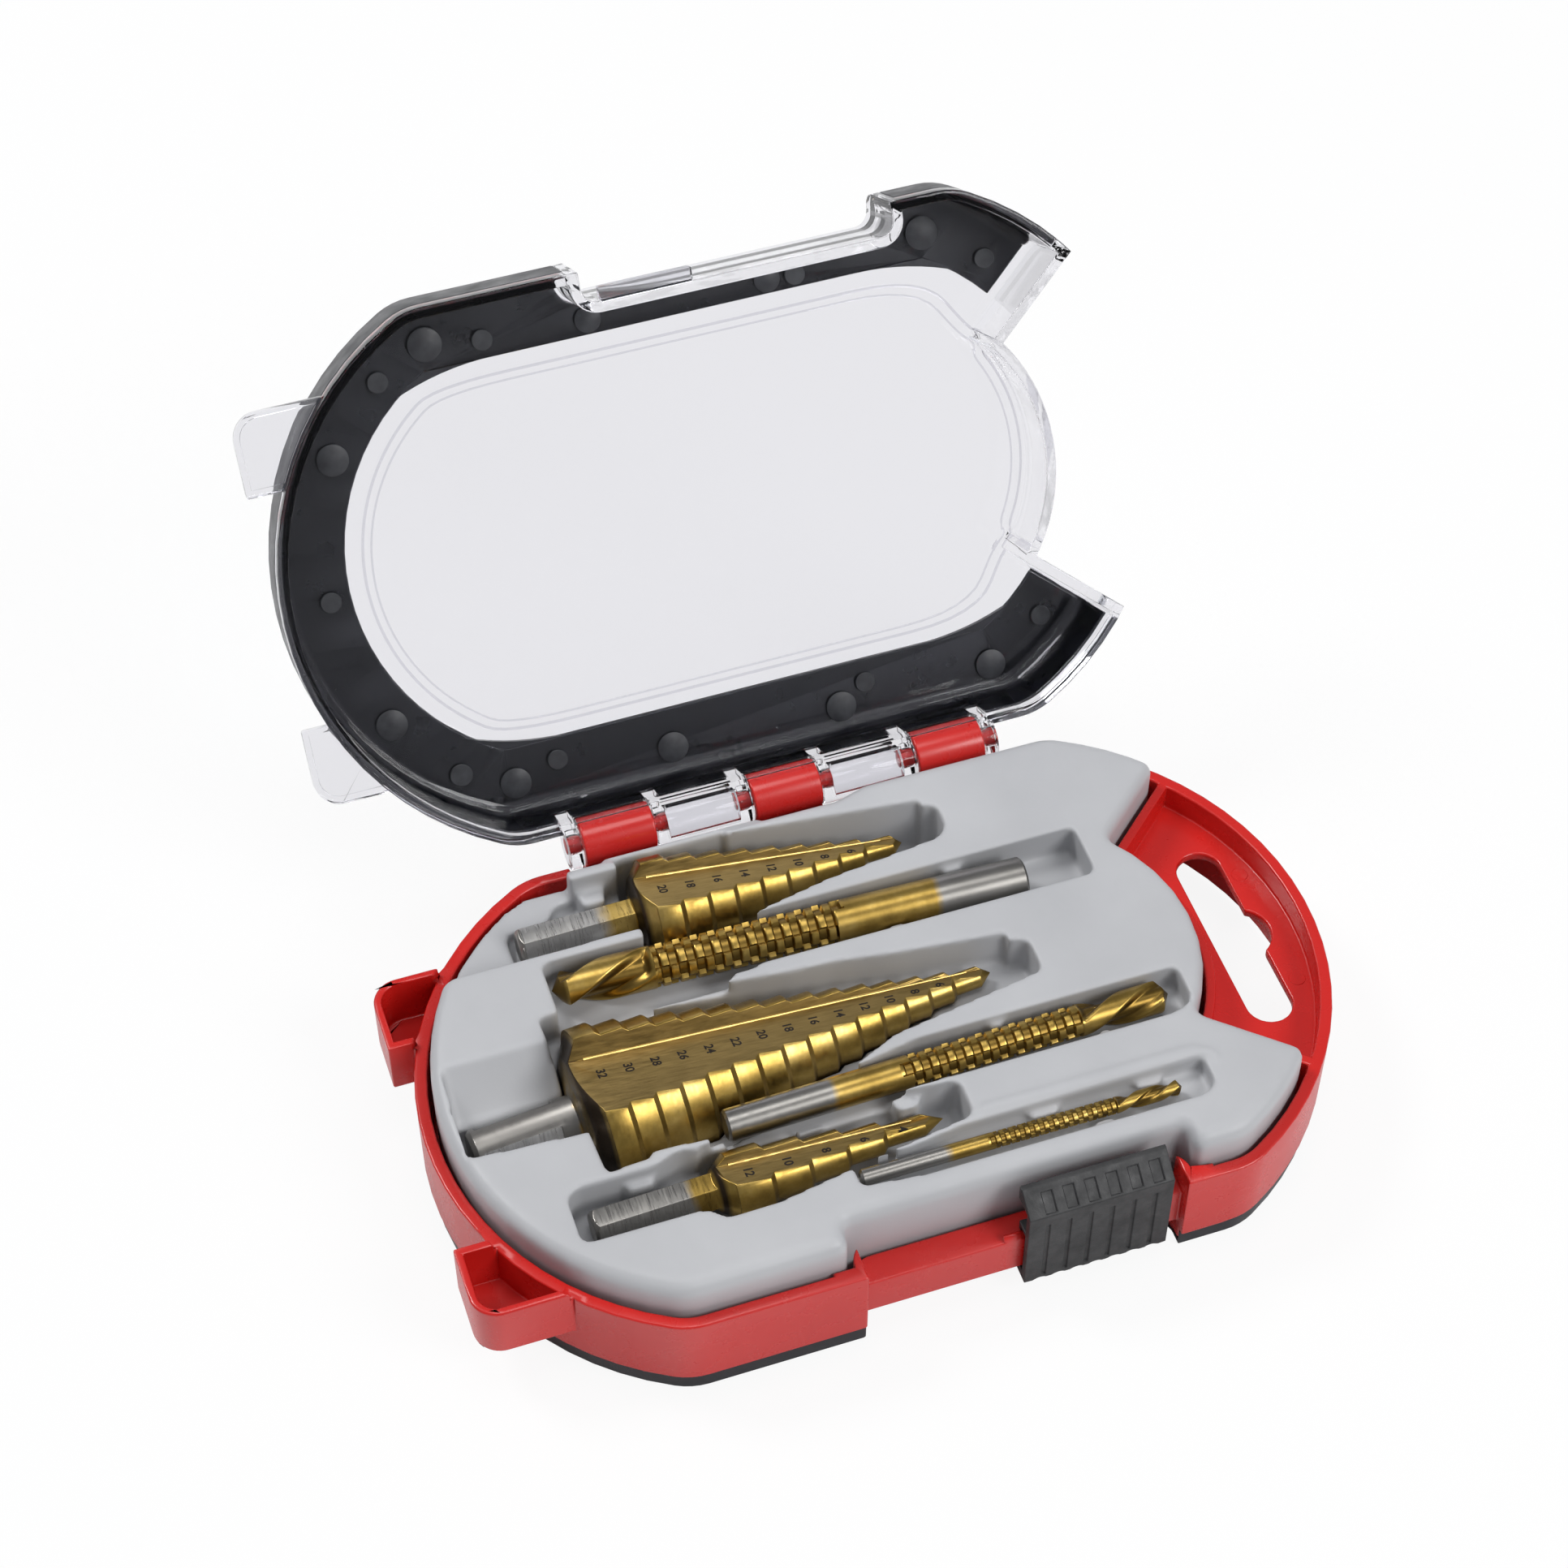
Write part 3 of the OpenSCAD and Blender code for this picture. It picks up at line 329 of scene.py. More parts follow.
def mark_plastic():
    """Slightly milky grey of the marks over the dark band."""
    f = Finish("mark_plastic", IOR=1.45)
    f.set("Base Color", f.ramp(
        f.noise(400.0, 4.0), (0.3, (0.026, 0.027, 0.032)), (0.8, (0.052, 0.054, 0.061)),
    ))
    f.set("Roughness", f.spread(f.noise(500.0), 0.4, 0.55))
    return f.material


FINISHES = {
    "red_plastic": red_plastic(),
    "grey_plastic": grey_plastic(),
    "band_plastic": band_plastic(),
    "latch_plastic": latch_plastic(),
    "clear_plastic": clear_plastic(),
    "coated_steel": gold_steel(),
}

# ---------------------------------------------------------------- studio


def seen_directly(tree):
    """1 for what the camera sees, straight or through clear plastic, and 0 for light on the object."""
    path = add_node(tree, "ShaderNodeLightPath").outputs
    rays = {0: path["Is Camera Ray"], 1: path["Is Transmission Ray"]}
    return add_node(tree, "ShaderNodeMath", rays, operation="MAXIMUM").outputs[0]


def stage_floor():
    """Plain pale floor that shows white to the camera and keeps the object's shadow."""
    bm = bmesh.new()
    bmesh.ops.create_circle(bm, cap_ends=True, cap_tris=False, segments=48, radius=4.0)
    mesh = bpy.data.meshes.new("studio_floor")
    bm.to_mesh(mesh)
    bm.free()
    mesh.transform(Matrix.Translation((0.0, 0.0, -0.0002)))
    material = bpy.data.materials.new("studio_floor")
    material.use_nodes = True
    tree = material.node_tree
    tree.nodes.clear()
    pale = add_node(tree, "ShaderNodeBsdfDiffuse", {"Color": (0.86, 0.86, 0.86, 1.0)}).outputs[0]
    white = add_node(tree, "ShaderNodeEmission", {"Color": (1.0, 1.0, 1.0, 1.0)}).outputs[0]
    share = add_node(tree, "ShaderNodeMath", {0: seen_directly(tree), 1: 0.9}, operation="MULTIPLY")
    mixed = add_node(tree, "ShaderNodeMixShader", {0: share.outputs[0], 1: pale, 2: white}).outputs[0]
    add_node(tree, "ShaderNodeOutputMaterial", {"Surface": mixed})
    mesh.materials.append(material)
    linked("studio_floor", mesh)


def area_lamp(name, place, size, power):
    """Soft lamp at a place, turned to the middle of the case."""
    data = bpy.data.lights.new(name, "AREA")
    data.shape = "DISK"
    data.size = size
    data.energy = power
    place = Vector(place)
    turn = (Vector((0.0, 0.02, 0.03)) - place).to_track_quat("-Z", "Y")
    linked(name, data).matrix_world = Matrix.Translation(place) @ turn.to_matrix().to_4x4()


def studio():
    """Floor, pale surroundings and three soft lamps."""
    stage_floor()
    world = bpy.data.worlds.new("studio")
    world.use_nodes = True
    tree = world.node_tree
    levels = {"Value": seen_directly(tree), "To Min": 0.28, "To Max": 1.0}
    glow = add_node(tree, "ShaderNodeMapRange", levels)
    back = tree.nodes["Background"]
    back.inputs["Color"].default_value = (0.93, 0.95, 1.0, 1.0)
    tree.links.new(glow.outputs["Result"], back.inputs["Strength"])
    SCENE.world = world
    area_lamp("key_lamp", (-0.9, 0.9, 1.5), 0.6, 17.0)
    area_lamp("fill_lamp", (0.9, -1.1, 1.2), 0.9, 18.0)
    area_lamp("top_lamp", (0.1, 0.1, 1.9), 0.8, 7.0)
    SCENE.view_settings.view_transform = "Standard"


studio()

# ---------------------------------------------------------------- pieces

SLOTS = {row["node"]: row["material_slot"] for row in frame["record"]["subparts"]}
for name, node in NODES.items():
    node.data.materials.clear()
    node.data.materials.append(FINISHES[SLOTS[name]])

# ---------------------------------------------------------------- shared shapes


def turned(place, heading, rise):
    """Where the shank end, heading and rise of a drill put what is built along +Z, in mm."""
    return (
        Matrix.Translation(place)
        @ Matrix.Rotation(math.radians(heading), 4, "Z")
        @ Matrix.Rotation(math.radians(90.0 - rise), 4, "Y")
        @ Matrix.Rotation(math.pi, 4, "Z")
    )


HINGE = Vector((0.0, 53.96, 23.14))
# carries the closed lid, in mm, to where it stands open
LID_OPEN = (
    Matrix.Translation(HINGE) @ Matrix.Rotation(math.radians(-122.6), 4, "X") @ Matrix.Translation(-HINGE)
)


def add_object(name, mesh, finishes, body, smooth=35.0):
    """Finished piece at the origin that rides on a body, with the finishes given."""
    for finish in finishes:
        mesh.materials.append(finish)
    if smooth:
        mesh.shade_smooth()
        mesh.set_sharp_from_angle(angle=math.radians(smooth))
    piece = linked(name, mesh)
    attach(piece, body)
    return piece


def mesh_of(name, verts, faces, place=None, kinds=None):
    """Mesh from points in mm, put at a place, with its normals turned outward."""
    mesh = bpy.data.meshes.new(name)
    points = [Vector(p) if place is None else place @ Vector(p) for p in verts]
    mesh.from_pydata([p * MM for p in points], [], faces)
    if kinds:
        for face, kind in zip(mesh.polygons, kinds):
            face.material_index = kind
    bm = bmesh.new()
    bm.from_mesh(mesh)
    bmesh.ops.recalc_face_normals(bm, faces=bm.faces)
    bm.to_mesh(mesh)
    bm.free()
    return mesh


def joined(name, meshes):
    """One mesh from several, which are used up."""
    bm = bmesh.new()
    for mesh in meshes:
        bm.from_mesh(mesh)
        bpy.data.meshes.remove(mesh)
    mesh = bpy.data.meshes.new(name)
    bm.to_mesh(mesh)
    bm.free()
    return mesh


def evaluated(holder):
    """Plain mesh of an object with its modifiers applied; the object itself goes."""
    bpy.context.view_layer.update()
    mesh = bpy.data.meshes.new_from_object(holder.evaluated_get(bpy.context.evaluated_depsgraph_get()))
    bpy.data.objects.remove(holder)
    return mesh


MERGE = 0.00002  # points nearer than this are one, in metres
SLIVER = 0.000004  # triangles flatter than this are slivers, in metres
FAR = 1000.0  # past everything, in mm


def turn_slivers(bm):
    """Turn the long edge of every sliver, so that bevels meet real faces."""
    for _ in range(4):
        slivers = [
            f for f in bm.faces
            if len(f.verts) == 3 and 2 * f.calc_area() / max(e.calc_length() for e in f.edges) < SLIVER
        ]
        for face in slivers:
            if face.is_valid:
                longest = max(face.edges, key=lambda e: e.calc_length())
                if longest.is_manifold:
                    bmesh.utils.edge_rotate(longest, False)
        bm.normal_update()


def within(edge, box):
    """Whether an edge lies in a box of (low, high) for x, y and z, in mm."""
    return all(low <= v.co[i] / MM <= high for v in edge.verts for i, (low, high) in enumerate(box))


def moulded(node, width, angle=28.0, weighted=False, crisp=None, hollow_to=FAR):
    """Copy of a node's mesh with doubles merged and its edges sharper than angle rounded.

    weighted keeps large faces looking flat. Edges inside the box crisp stay sharp, and so do
    inner corners past y = hollow_to, in mm.
    """
    bm = bmesh.new()
    bm.from_mesh(NODES[node].data)
    bmesh.ops.remove_doubles(bm, verts=bm.verts, dist=MERGE)
    bmesh.ops.dissolve_degenerate(bm, dist=MERGE, edges=bm.edges)
    turn_slivers(bm)
    bmesh.ops.recalc_face_normals(bm, faces=bm.faces)
    weight = bm.edges.layers.float.new("bevel_weight_edge")
    for edge in bm.edges:
        if crisp and within(edge, crisp):
            continue
        if not edge.is_convex and max(v.co.y for v in edge.verts) / MM > hollow_to:
            continue
        sharp = edge.is_manifold and edge.calc_face_angle() > math.radians(angle)
        if sharp and edge.calc_length() > 1.2 * width:
            edge[weight] = 1.0
    mesh = bpy.data.meshes.new(node + "_rough")
    bm.to_mesh(mesh)
    bm.free()
    rough = linked(node + "_rough", mesh)
    edges = rough.modifiers.new("edges", "BEVEL")
    edges.width = width
    edges.segments = 2
    edges.limit_method = "WEIGHT"
    edges.use_clamp_overlap = False
    if weighted:
        mesh.shade_smooth()
        mesh.set_sharp_from_angle(angle=math.radians(35.0))
        flat = rough.modifiers.new("flat", "WEIGHTED_NORMAL")
        flat.mode = "FACE_AREA_WITH_ANGLE"
        flat.weight = 100
        flat.keep_sharp = False
    done = evaluated(rough)
    bpy.data.meshes.remove(mesh)
    done.name = node
    return done


def softened(node, grain, passes, keep, extras=()):
    """Copy of a node's mesh, joined by extras, remade at an even grain, smoothed and thinned out."""
    bm = bmesh.new()
    bm.from_mesh(NODES[node].data)
    bmesh.ops.remove_doubles(bm, verts=bm.verts, dist=0.00001)
    for extra in extras:
        bm.from_mesh(extra)
        bpy.data.meshes.remove(extra)
    mesh = bpy.data.meshes.new(node + "_rough")
    bm.to_mesh(mesh)
    bm.free()
    rough = linked(node + "_rough", mesh)
    even = rough.modifiers.new("even", "REMESH")
    even.mode = "VOXEL"
    even.voxel_size = grain
    smooth = rough.modifiers.new("smooth", "SMOOTH")
    smooth.factor = 0.5
    smooth.iterations = passes
    thin = rough.modifiers.new("thin", "DECIMATE")
    thin.ratio = keep
    done = evaluated(rough)
    bpy.data.meshes.remove(mesh)
    done.name = node
    return done


def ridge(points, z, width, height, closed=True):
    """Low rounded ridge along a path, hanging down from height z."""
    n = len(points)
    profile = [(-0.5, 0.25), (-0.42, -0.55), (-0.2, -0.95), (0.2, -0.95), (0.42, -0.55), (0.5, 0.25)]
    verts, faces = [], []
    for i, (x, y) in enumerate(points):
        a = points[(i - 1) % n] if closed or i else points[0]
        b = points[(i + 1) % n] if closed or i < n - 1 else points[-1]
        u = Vector((b[0] - a[0], b[1] - a[1])).normalized()
        for s, h in profile:
            verts.append((x - u.y * s * width, y + u.x * s * width, z + h * height))
    k = len(profile)
    for i in range(n if closed else n - 1):
        j = (i + 1) % n
        for m in range(k):
            p = (m + 1) % k
            faces.append((i * k + m, j * k + m, j * k + p, i * k + p))
    if not closed:
        faces.append(tuple(range(k)))
        faces.append(tuple((n - 1) * k + m for m in range(k - 1, -1, -1)))
    return verts, faces


# ---------------------------------------------------------------- case

CASE = {
    # node: (piece, body, edge radius in metres, box left sharp, inner corners rounded up to this y)
    # The small stop beside the latch has edges too short to round, and the closed lid comes too
    # near the inner corners by the hinge.
    "base_shell": ("case_base", "base", 0.0004, ((5.5, 10.0), (-49.2, -47.5), (14.8, 16.4)), 45.0),
    "base_band": ("case_foot_band", "base", 0.0003, None, FAR),
    "slide_latch": ("case_latch", "latch", 0.0002, None, FAR),
    "lid_shell": ("case_lid", "lid", 0.0003, None, -FAR),
    "lid_band": ("case_lid_band", "lid", 0.0003, None, FAR),
}
for node, (name, body, width, crisp, hollow_to) in CASE.items():
    slot = SLOTS[node]
    mesh = moulded(node, width, weighted=True, crisp=crisp, hollow_to=hollow_to)
    piece = add_object(name, mesh, [FINISHES[slot]], body, None)
    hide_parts(node)


def tray_extras():
    """The tray's thin rear wall, thick enough for the grain, and the fine raised line on its top."""
    corners = [(x, y, z) for x in (-37.5, -7.0) for y in (45.3, 46.9) for z in (12.0, 26.1)]
    sides = [(0, 1, 3, 2), (4, 6, 7, 5), (0, 4, 5, 1), (2, 3, 7, 6), (0, 2, 6, 4), (1, 5, 7, 3)]
    straight = [(9.0 + 40.0 * i / 20, -29.2 - 0.75 * i / 20) for i in range(21)]
    hook = [(50.4, -30.1), (51.4, -30.6), (51.8, -31.4), (51.6, -32.3)]
    line = ridge(straight + hook, 27.2, 1.3, -1.0, False)
    return [mesh_of("tray_wall", corners, sides), mesh_of("tray_line", *line)]


tray_mesh = softened("tray", 0.00058, 5, 0.34, tray_extras())
tray = add_object("case_tray", tray_mesh, [FINISHES["grey_plastic"]], "base", 80.0)
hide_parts("tray")

# ---------------------------------------------------------------- step drills

STEP_DRILLS = {
    # node: (shank end, heading, rise, first radius, steps, step length, shank length, shank radius)
    "step_drill_32": ((-77.0, -4.3, 18.1), 3.85, 1.8, 16, 15, 5.0, 22.5, 5.0),
    "step_drill_20": ((-57.4, 34.75, 22.0), 0.6, 0.0, 10, 9, 5.3, 25.2, 3.67),
    "step_drill_12": ((-61.9, -27.9, 22.5), 2.0, 0.0, 6, 5, 7.2, 25.1, 3.67),
}
TIP_RADIUS = 2  # of the last step, mm
FLUTE_TURN = Matrix.Rotation(math.radians(-25.1), 4, "Z")
FLUTE_OPEN = Matrix.Rotation(math.radians(103.4), 4, "Z")  # from the cutting face to the wide one
FLUTE_DEPTH = 0.73  # distance of the V bottom from the axis, as a share of the step's radius
FIGURE_SIZE = 2.3  # mm
# order of a step drill's materials
LAND, FLUTE, CUTTING, HIGHLIGHT_STRIP, FIGURE, SHANK_FLAT = range(6)


def note_length(mesh, place):
    """Store how far along its drill and off its axis each point lies, in mm, for the materials."""
    back = place.inverted()
    along = mesh.attributes.new("along", "FLOAT", "POINT")
    across = mesh.attributes.new("across", "FLOAT", "POINT")
    for i, vertex in enumerate(mesh.vertices):
        p = back @ (vertex.co / MM)
        along.data[i].value = p.z
        across.data[i].value = math.hypot(p.x, p.y)


def flute_frame(first, length, start):
    """Place of a flute's V bottom: +Z along it, +X along the cutting face."""
    tilt = math.atan((first - TIP_RADIUS) * FLUTE_DEPTH / length)
    tip = Matrix.Translation((TIP_RADIUS * FLUTE_DEPTH, 0.0, start + length))
    return FLUTE_TURN @ tip @ Matrix.Rotation(-tilt, 4, "Y")


def number_mesh(text, place):
    """Flat figures a hair proud of a face, from the built-in font."""
    curve = bpy.data.curves.new("figure", "FONT")
    curve.body = text
    curve.size = FIGURE_SIZE
    curve.align_x = "CENTER"
    curve.align_y = "CENTER"
    curve.extrude = 0.02
    curve.offset = 0.06
    curve.resolution_u = 3
    mesh = evaluated(linked("figure", curve))
    bpy.data.curves.remove(curve)
    mesh.transform(Matrix.Scale(MM, 4) @ place)
    bm = bmesh.new()
    bm.from_mesh(mesh)
    bmesh.ops.remove_doubles(bm, verts=bm.verts, dist=0.000002)
    bm.to_mesh(mesh)
    bm.free()
    return mesh


def rod(start, end, r0, r1, wobble, sides=8, rings=40):
    """Thin round strip between two points, as points and faces; wobble varies its width."""
    turn = (end - start).to_track_quat("Z", "X").to_matrix()
    verts, faces = [], []
    for i in range(rings + 1):
        t = i / rings
        r = (r0 + (r1 - r0) * t) * (1.0 + wobble * math.sin(2.3 * i + 1.7 * math.sin(1.1 * i)))
        for j in range(sides):
            a = 2 * math.pi * j / sides
            verts.append(start.lerp(end, t) + turn @ Vector((r * math.cos(a), r * math.sin(a), 0.0)))
    for i in range(rings):
        for j in range(sides):
            k = (j + 1) % sides
            faces.append((i * sides + j, i * sides + k, (i + 1) * sides + k, (i + 1) * sides + j))
    faces.append(tuple(range(sides - 1, -1, -1)))
    faces.append(tuple(rings * sides + j for j in range(sides)))
    return verts, faces


def mark_faces(body, place, frames, start, shank):
    """Give a step drill's flutes, cutting faces and shank flats their materials."""
    back = place.inverted()
    across = Vector((0.0, 1.0, 0.0))
    flutes = [
        ((place @ f).inverted(), (place @ f).to_3x3() @ across, (place @ f @ FLUTE_OPEN).to_3x3() @ across)
        for f in frames
    ]
    for face in body.polygons:
        middle = back @ (face.center / MM)
        outward = back.to_3x3() @ face.normal
        face.material_index = LAND
        if 1.8 < middle.z < start - 4.0 and abs(outward.z) < 0.05:
            if middle.xy.dot(outward.xy) < 0.9 * shank:
                face.material_index = SHANK_FLAT
        if middle.z > start - 0.2:
            for to_flute, cutting, wide in flutes:
                off_cutting = abs((to_flute @ (face.center / MM)).y)
                if abs(wide.dot(face.normal)) > 0.999:
                    face.material_index = FLUTE
                elif abs(cutting.dot(face.normal)) > 0.999 and off_cutting < 0.15:
                    face.material_index = CUTTING


def flute_lines(node, place, frames, length):
    """Rounded strip in the V bottom of each flute, coloured brighter than the flute: painted highlight along
    the fillet.
    """
    verts, faces = [], []
    for f in frames:
        ends = [f @ Vector((0.0, 0.0, z)) for z in (0.2 - length, -2.0)]
        points, strips = rod(*ends, 0.34, 0.16, 0.22)
        n = len(verts)
        verts += points
        faces += [tuple(n + i for i in face) for face in strips]
    # the strip takes the brighter gold, a painted highlight
    return mesh_of(node + "_line", verts, faces, place, [HIGHLIGHT_STRIP] * len(faces))


def step_figures(place, frames, first, steps, pitch):
    """The diameter of each step, on the wide face of both flutes."""
    done = []
    for f in frames:
        for i in range(steps):
            radius = first - i
            if radius == TIP_RADIUS and steps > 6:
                continue
            z = (i + 0.42) * pitch - steps * pitch
            out = min(0.341 * radius + 0.6, 4.6) if first > 12 else 0.32 * radius + 0.9
            # they read across the drill, their tops towards the tip
            on_flat = Matrix(((1, 0, 0, out), (0, 0, -1, 0), (0, 1, 0, z), (0, 0, 0, 1)))
            figure = number_mesh(str(2 * radius), place @ (f @ FLUTE_OPEN @ on_flat))
            for face in figure.polygons:
                face.material_index = FIGURE
            done.append(figure)
    return done


def step_drill(node, spot, heading, rise, first, steps, pitch, start, shank):
    """Rounded copy of the drill with ground flutes, a V bottom strip with painted highlight, and its sizes.
    """
    place = turned(spot, heading, rise)
    length = steps * pitch
    frames = [Matrix.Rotation(a, 4, "Z") @ flute_frame(first, length, start) for a in (0.0, math.pi)]
    body = moulded(node, 0.00009, 20.0)
    mark_faces(body, place, frames, start, shank)
    line = flute_lines(node, place, frames, length)
    mesh = joined(node, [body, line] + step_figures(place, frames, first, steps, pitch))
    note_length(mesh, place)
    finishes = [STEP_FINISHES[node], flute_steel, shaded_cutting_steel, painted_highlight_gold, figure_ink, STEP_FLATS[node]]
    size = node.split("_")[-1]
    piece = add_object("gold_step_" + size, mesh, finishes, "drill_" + size, 30.0)
    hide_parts(node)


STEP_FINISHES = {
    # where the bare shank ends, the gold begins and the collar ends, and the collar's least radius
    "step_drill_32": drill_steel("step_32_steel", 19.0, 20.0, 22.3, 5.2),
    "step_drill_20": drill_steel("step_20_steel", 15.0, 18.0, 23.5, 3.9),
    "step_drill_12": drill_steel("step_12_steel", 17.0, 19.0, 23.5, 3.9),
}
flute_steel = ground_gold("flute_steel", (0.29, 0.20, 0.072), (0.46, 0.325, 0.122))
# cutting faces: the flute's ground gold made darker, painted shade
shaded_cutting_steel = ground_gold("shaded_cutting_steel", (0.26, 0.172, 0.055), (0.40, 0.275, 0.095))
# ground flats of the shanks: the 32's and the 20's are painted much lighter than their bare steel, painted
# highlight; the 12's about the same
STEP_FLATS = {
    "step_drill_32": shank_flat("shank_flat_32_painted_highlight", 40.0, 41.0, (0.56, 0.553, 0.54), (0.72, 0.712, 0.70)),
    "step_drill_20": shank_flat("shank_flat_20_painted_highlight", 15.0, 18.0, (0.38, 0.37, 0.355), (0.43, 0.42, 0.405)),
    "step_drill_12": shank_flat("shank_flat_12", 17.0, 19.0, (0.26, 0.25, 0.235), (0.30, 0.29, 0.272)),
}
# the strip in each flute's V bottom, a brighter gold: painted highlight where the fillet catches the light
painted_highlight_gold = ground_gold("painted_highlight_gold", (0.62, 0.42, 0.13), (0.82, 0.62, 0.24))
figure_ink = ink()
for node, facts in STEP_DRILLS.items():
    step_drill(node, *facts)

# ---------------------------------------------------------------- saw drills

SAW_DRILLS = {
    # node: (shank end, heading, diameter, length, tooth pitch, rows, bare steel up to)
    "saw_drill_8": ((35.3, 18.5, 24.7), 178.1, 8.0, 90.0, 3.3, 8, 17.0),
    "saw_drill_6": ((-34.3, -16.6, 25.0), 1.15, 6.0, 84.4, 3.2, 8, 20.0),
    "saw_drill_3": ((-15.7, -34.7, 25.6), 0.0, 3.0, 60.0, 1.8, 6, 16.0),
}
RASP_FROM, RASP_TO = 0.41, 0.79  # where the teeth begin and end, as shares of the length
CHAMFER = 0.45  # at the shank's end, mm


def smooth_step(t):
    """t kept to 0..1, with soft ends."""
    t = min(max(t, 0.0), 1.0)
    return t * t * (3.0 - 2.0 * t)


def saw_radius(angle, z, r, length, pitch, rows):
    """Radius of a saw drill at an angle and a distance from the shank end."""
    rasp_from = RASP_FROM * length
    rasp_to = RASP_TO * length
    if z < CHAMFER:
        return r - (CHAMFER - z)
    if z < rasp_from - 0.6 * pitch:
        return r
    if z < rasp_to:
        # staggered teeth: rows along the drill, each half a pitch on from the last
        turn = (angle / (2 * math.pi)) * rows
        row = math.floor(turn)
        side = abs(turn - row - 0.5) * 2
        run = ((z - rasp_from) / pitch + 0.5 * (row % 2)) % 1.0
        if z < rasp_from and (row % 2 or row % 4):
            return r
        tooth = smooth_step((run - 0.04) / 0.10) * (1.0 - smooth_step((run - 0.50) / 0.12))
        crest = 1.0 - smooth_step((side - 0.80) / 0.16) * 0.55
        low = r * 0.78
        return low + (r * 0.985 - low) * tooth * crest
    # twist tip: two wide flutes that leave narrow lands, running out to a point
    turn = angle + (z - rasp_to) / r * 0.62
    wave = math.cos(turn) ** 2
    depth = 0.40 * smooth_step((z - rasp_to) / (0.5 * r))
    groove = smooth_step((wave - 0.30) / 0.45)
    here = r * (1.0 - depth * groove)
    point = (length - z) * 1.55 + 0.02
    return min(here, point)


def saw_stations(length, pitch):
    """Places of the rings along a saw drill: few on the shank, many on the teeth and the tip."""
    fine = pitch / 18.0
    teeth = RASP_FROM * length - 0.7 * pitch
    stations = [0.0, 0.15, 0.3, CHAMFER]
    for z, stop, stride in ((1.2, teeth, 2.4), (teeth, RASP_TO * length, fine)):
        while z < stop:
            stations.append(z)
            z += stride
    while z < length - 0.01:
        stations.append(z)
        z += fine * 1.4
    return stations + [length]


def saw_drill(node, spot, heading, diameter, length, pitch, rows, bare):
    """Saw drill as one closed skin of rings."""
    place = turned(spot, heading, 0.0)
    r = diameter / 2
    stations = saw_stations(length, pitch)
    sides = rows * 14
    verts = [(0.0, 0.0, 0.0)]
    for z in stations:
        for j in range(sides):
            a = 2 * math.pi * (j + 0.5) / sides
            radius = saw_radius(a, z, r, length, pitch, rows)
            verts.append((radius * math.cos(a), radius * math.sin(a), z))
    verts.append((0.0, 0.0, length + 0.01))
    faces = [(0, 1 + (j + 1) % sides, 1 + j) for j in range(sides)]
    for i in range(len(stations) - 1):
        for j in range(sides):
            k = (j + 1) % sides
            a, b = 1 + i * sides, 1 + (i + 1) * sides
            faces.append((a + j, a + k, b + k, b + j))
    last = len(verts) - 1
    a = 1 + (len(stations) - 1) * sides
    faces += [(a + j, a + (j + 1) % sides, last) for j in range(sides)]
    mesh = mesh_of(node, verts, faces, place)
    note_length(mesh, place)
    finish = saw_steel(node + "_steel", bare, r)
    size = node.split("_")[-1]
    piece = add_object("gold_saw_" + size, mesh, [finish], "drill_" + size, 38.0)
    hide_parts(node)


for node, facts in SAW_DRILLS.items():
    saw_drill(node, *facts)

# ---------------------------------------------------------------- lid details

# outline of the case from above, in mm
HALF_WIDTH = 51.0
END_CENTRE, END_RADIUS = 28.4, 56.0
CORNER_RADIUS = 13.0
LID_PLATE = 35.5  # height of the closed lid's inner face, mm


def outline(inset, steps):
    """Points of the round ends of the case, drawn in by inset, in mm, anticlockwise from the right."""
    end_r = END_RADIUS - inset
    r = max(CORNER_RADIUS - inset, 0.6)
    cy = HALF_WIDTH - inset - r
    a = math.atan2(cy, math.sqrt((end_r - r) ** 2 - cy * cy))
    angles = [a * i / steps for i in range(steps + 1)]
    q = [(END_CENTRE + end_r * math.cos(t), end_r * math.sin(t)) for t in angles]
    return (
        q
        + [(-x, y) for x, y in q[:0:-1]]
        + [(-x, -y) for x, y in q]
        + [(x, -y) for x, y in q[:0:-1]]
    )


def rounded_path(points, reach, steps=6):
    """Closed path with every corner rounded, taking up to reach of the edges beside it."""
    n = len(points)
    done = []
    for i in range(n):
        b = Vector(points[i])
        a, c = Vector(points[i - 1]) - b, Vector(points[(i + 1) % n]) - b
        ka, kc = min(reach, a.length * 0.49), min(reach, c.length * 0.49)
        for m in range(steps + 1):
            t = m / steps
            done.append(tuple(b + (1 - t) ** 2 * ka * a.normalized() + t * t * kc * c.normalized()))
    return done


def window_lines():
    """Two fine moulded lines around the window of the lid."""
    right = [(55.0, -21.5), (57.5, -20.2), (57.0, -17.8)]
    angles = [math.radians(degrees) for degrees in range(-30, 31, 5)]
    right += [(END_CENTRE + 33.2 * math.cos(t), 33.2 * math.sin(t)) for t in angles]
    right += [(57.0, 17.8), (57.5, 20.2), (55.0, 21.5)]
    left = [p for p in outline(17.3, 5) if p[0] < 50.0]
    ring = rounded_path(right + left, 14.0)
    inner = [(x * 0.972 - 0.3, y * 0.955) for x, y in ring]
    parts = [
        mesh_of("window_line", *ridge(path, LID_PLATE + 0.05, width, height), LID_OPEN)
        for path, width, height in ((ring, 0.55, 0.3), (inner, 0.4, 0.18))
    ]
    name, slot = "lid_window_lines", "clear_plastic"
    add_object(name, joined(name, parts), [FINISHES[slot]], "lid")


window_lines()


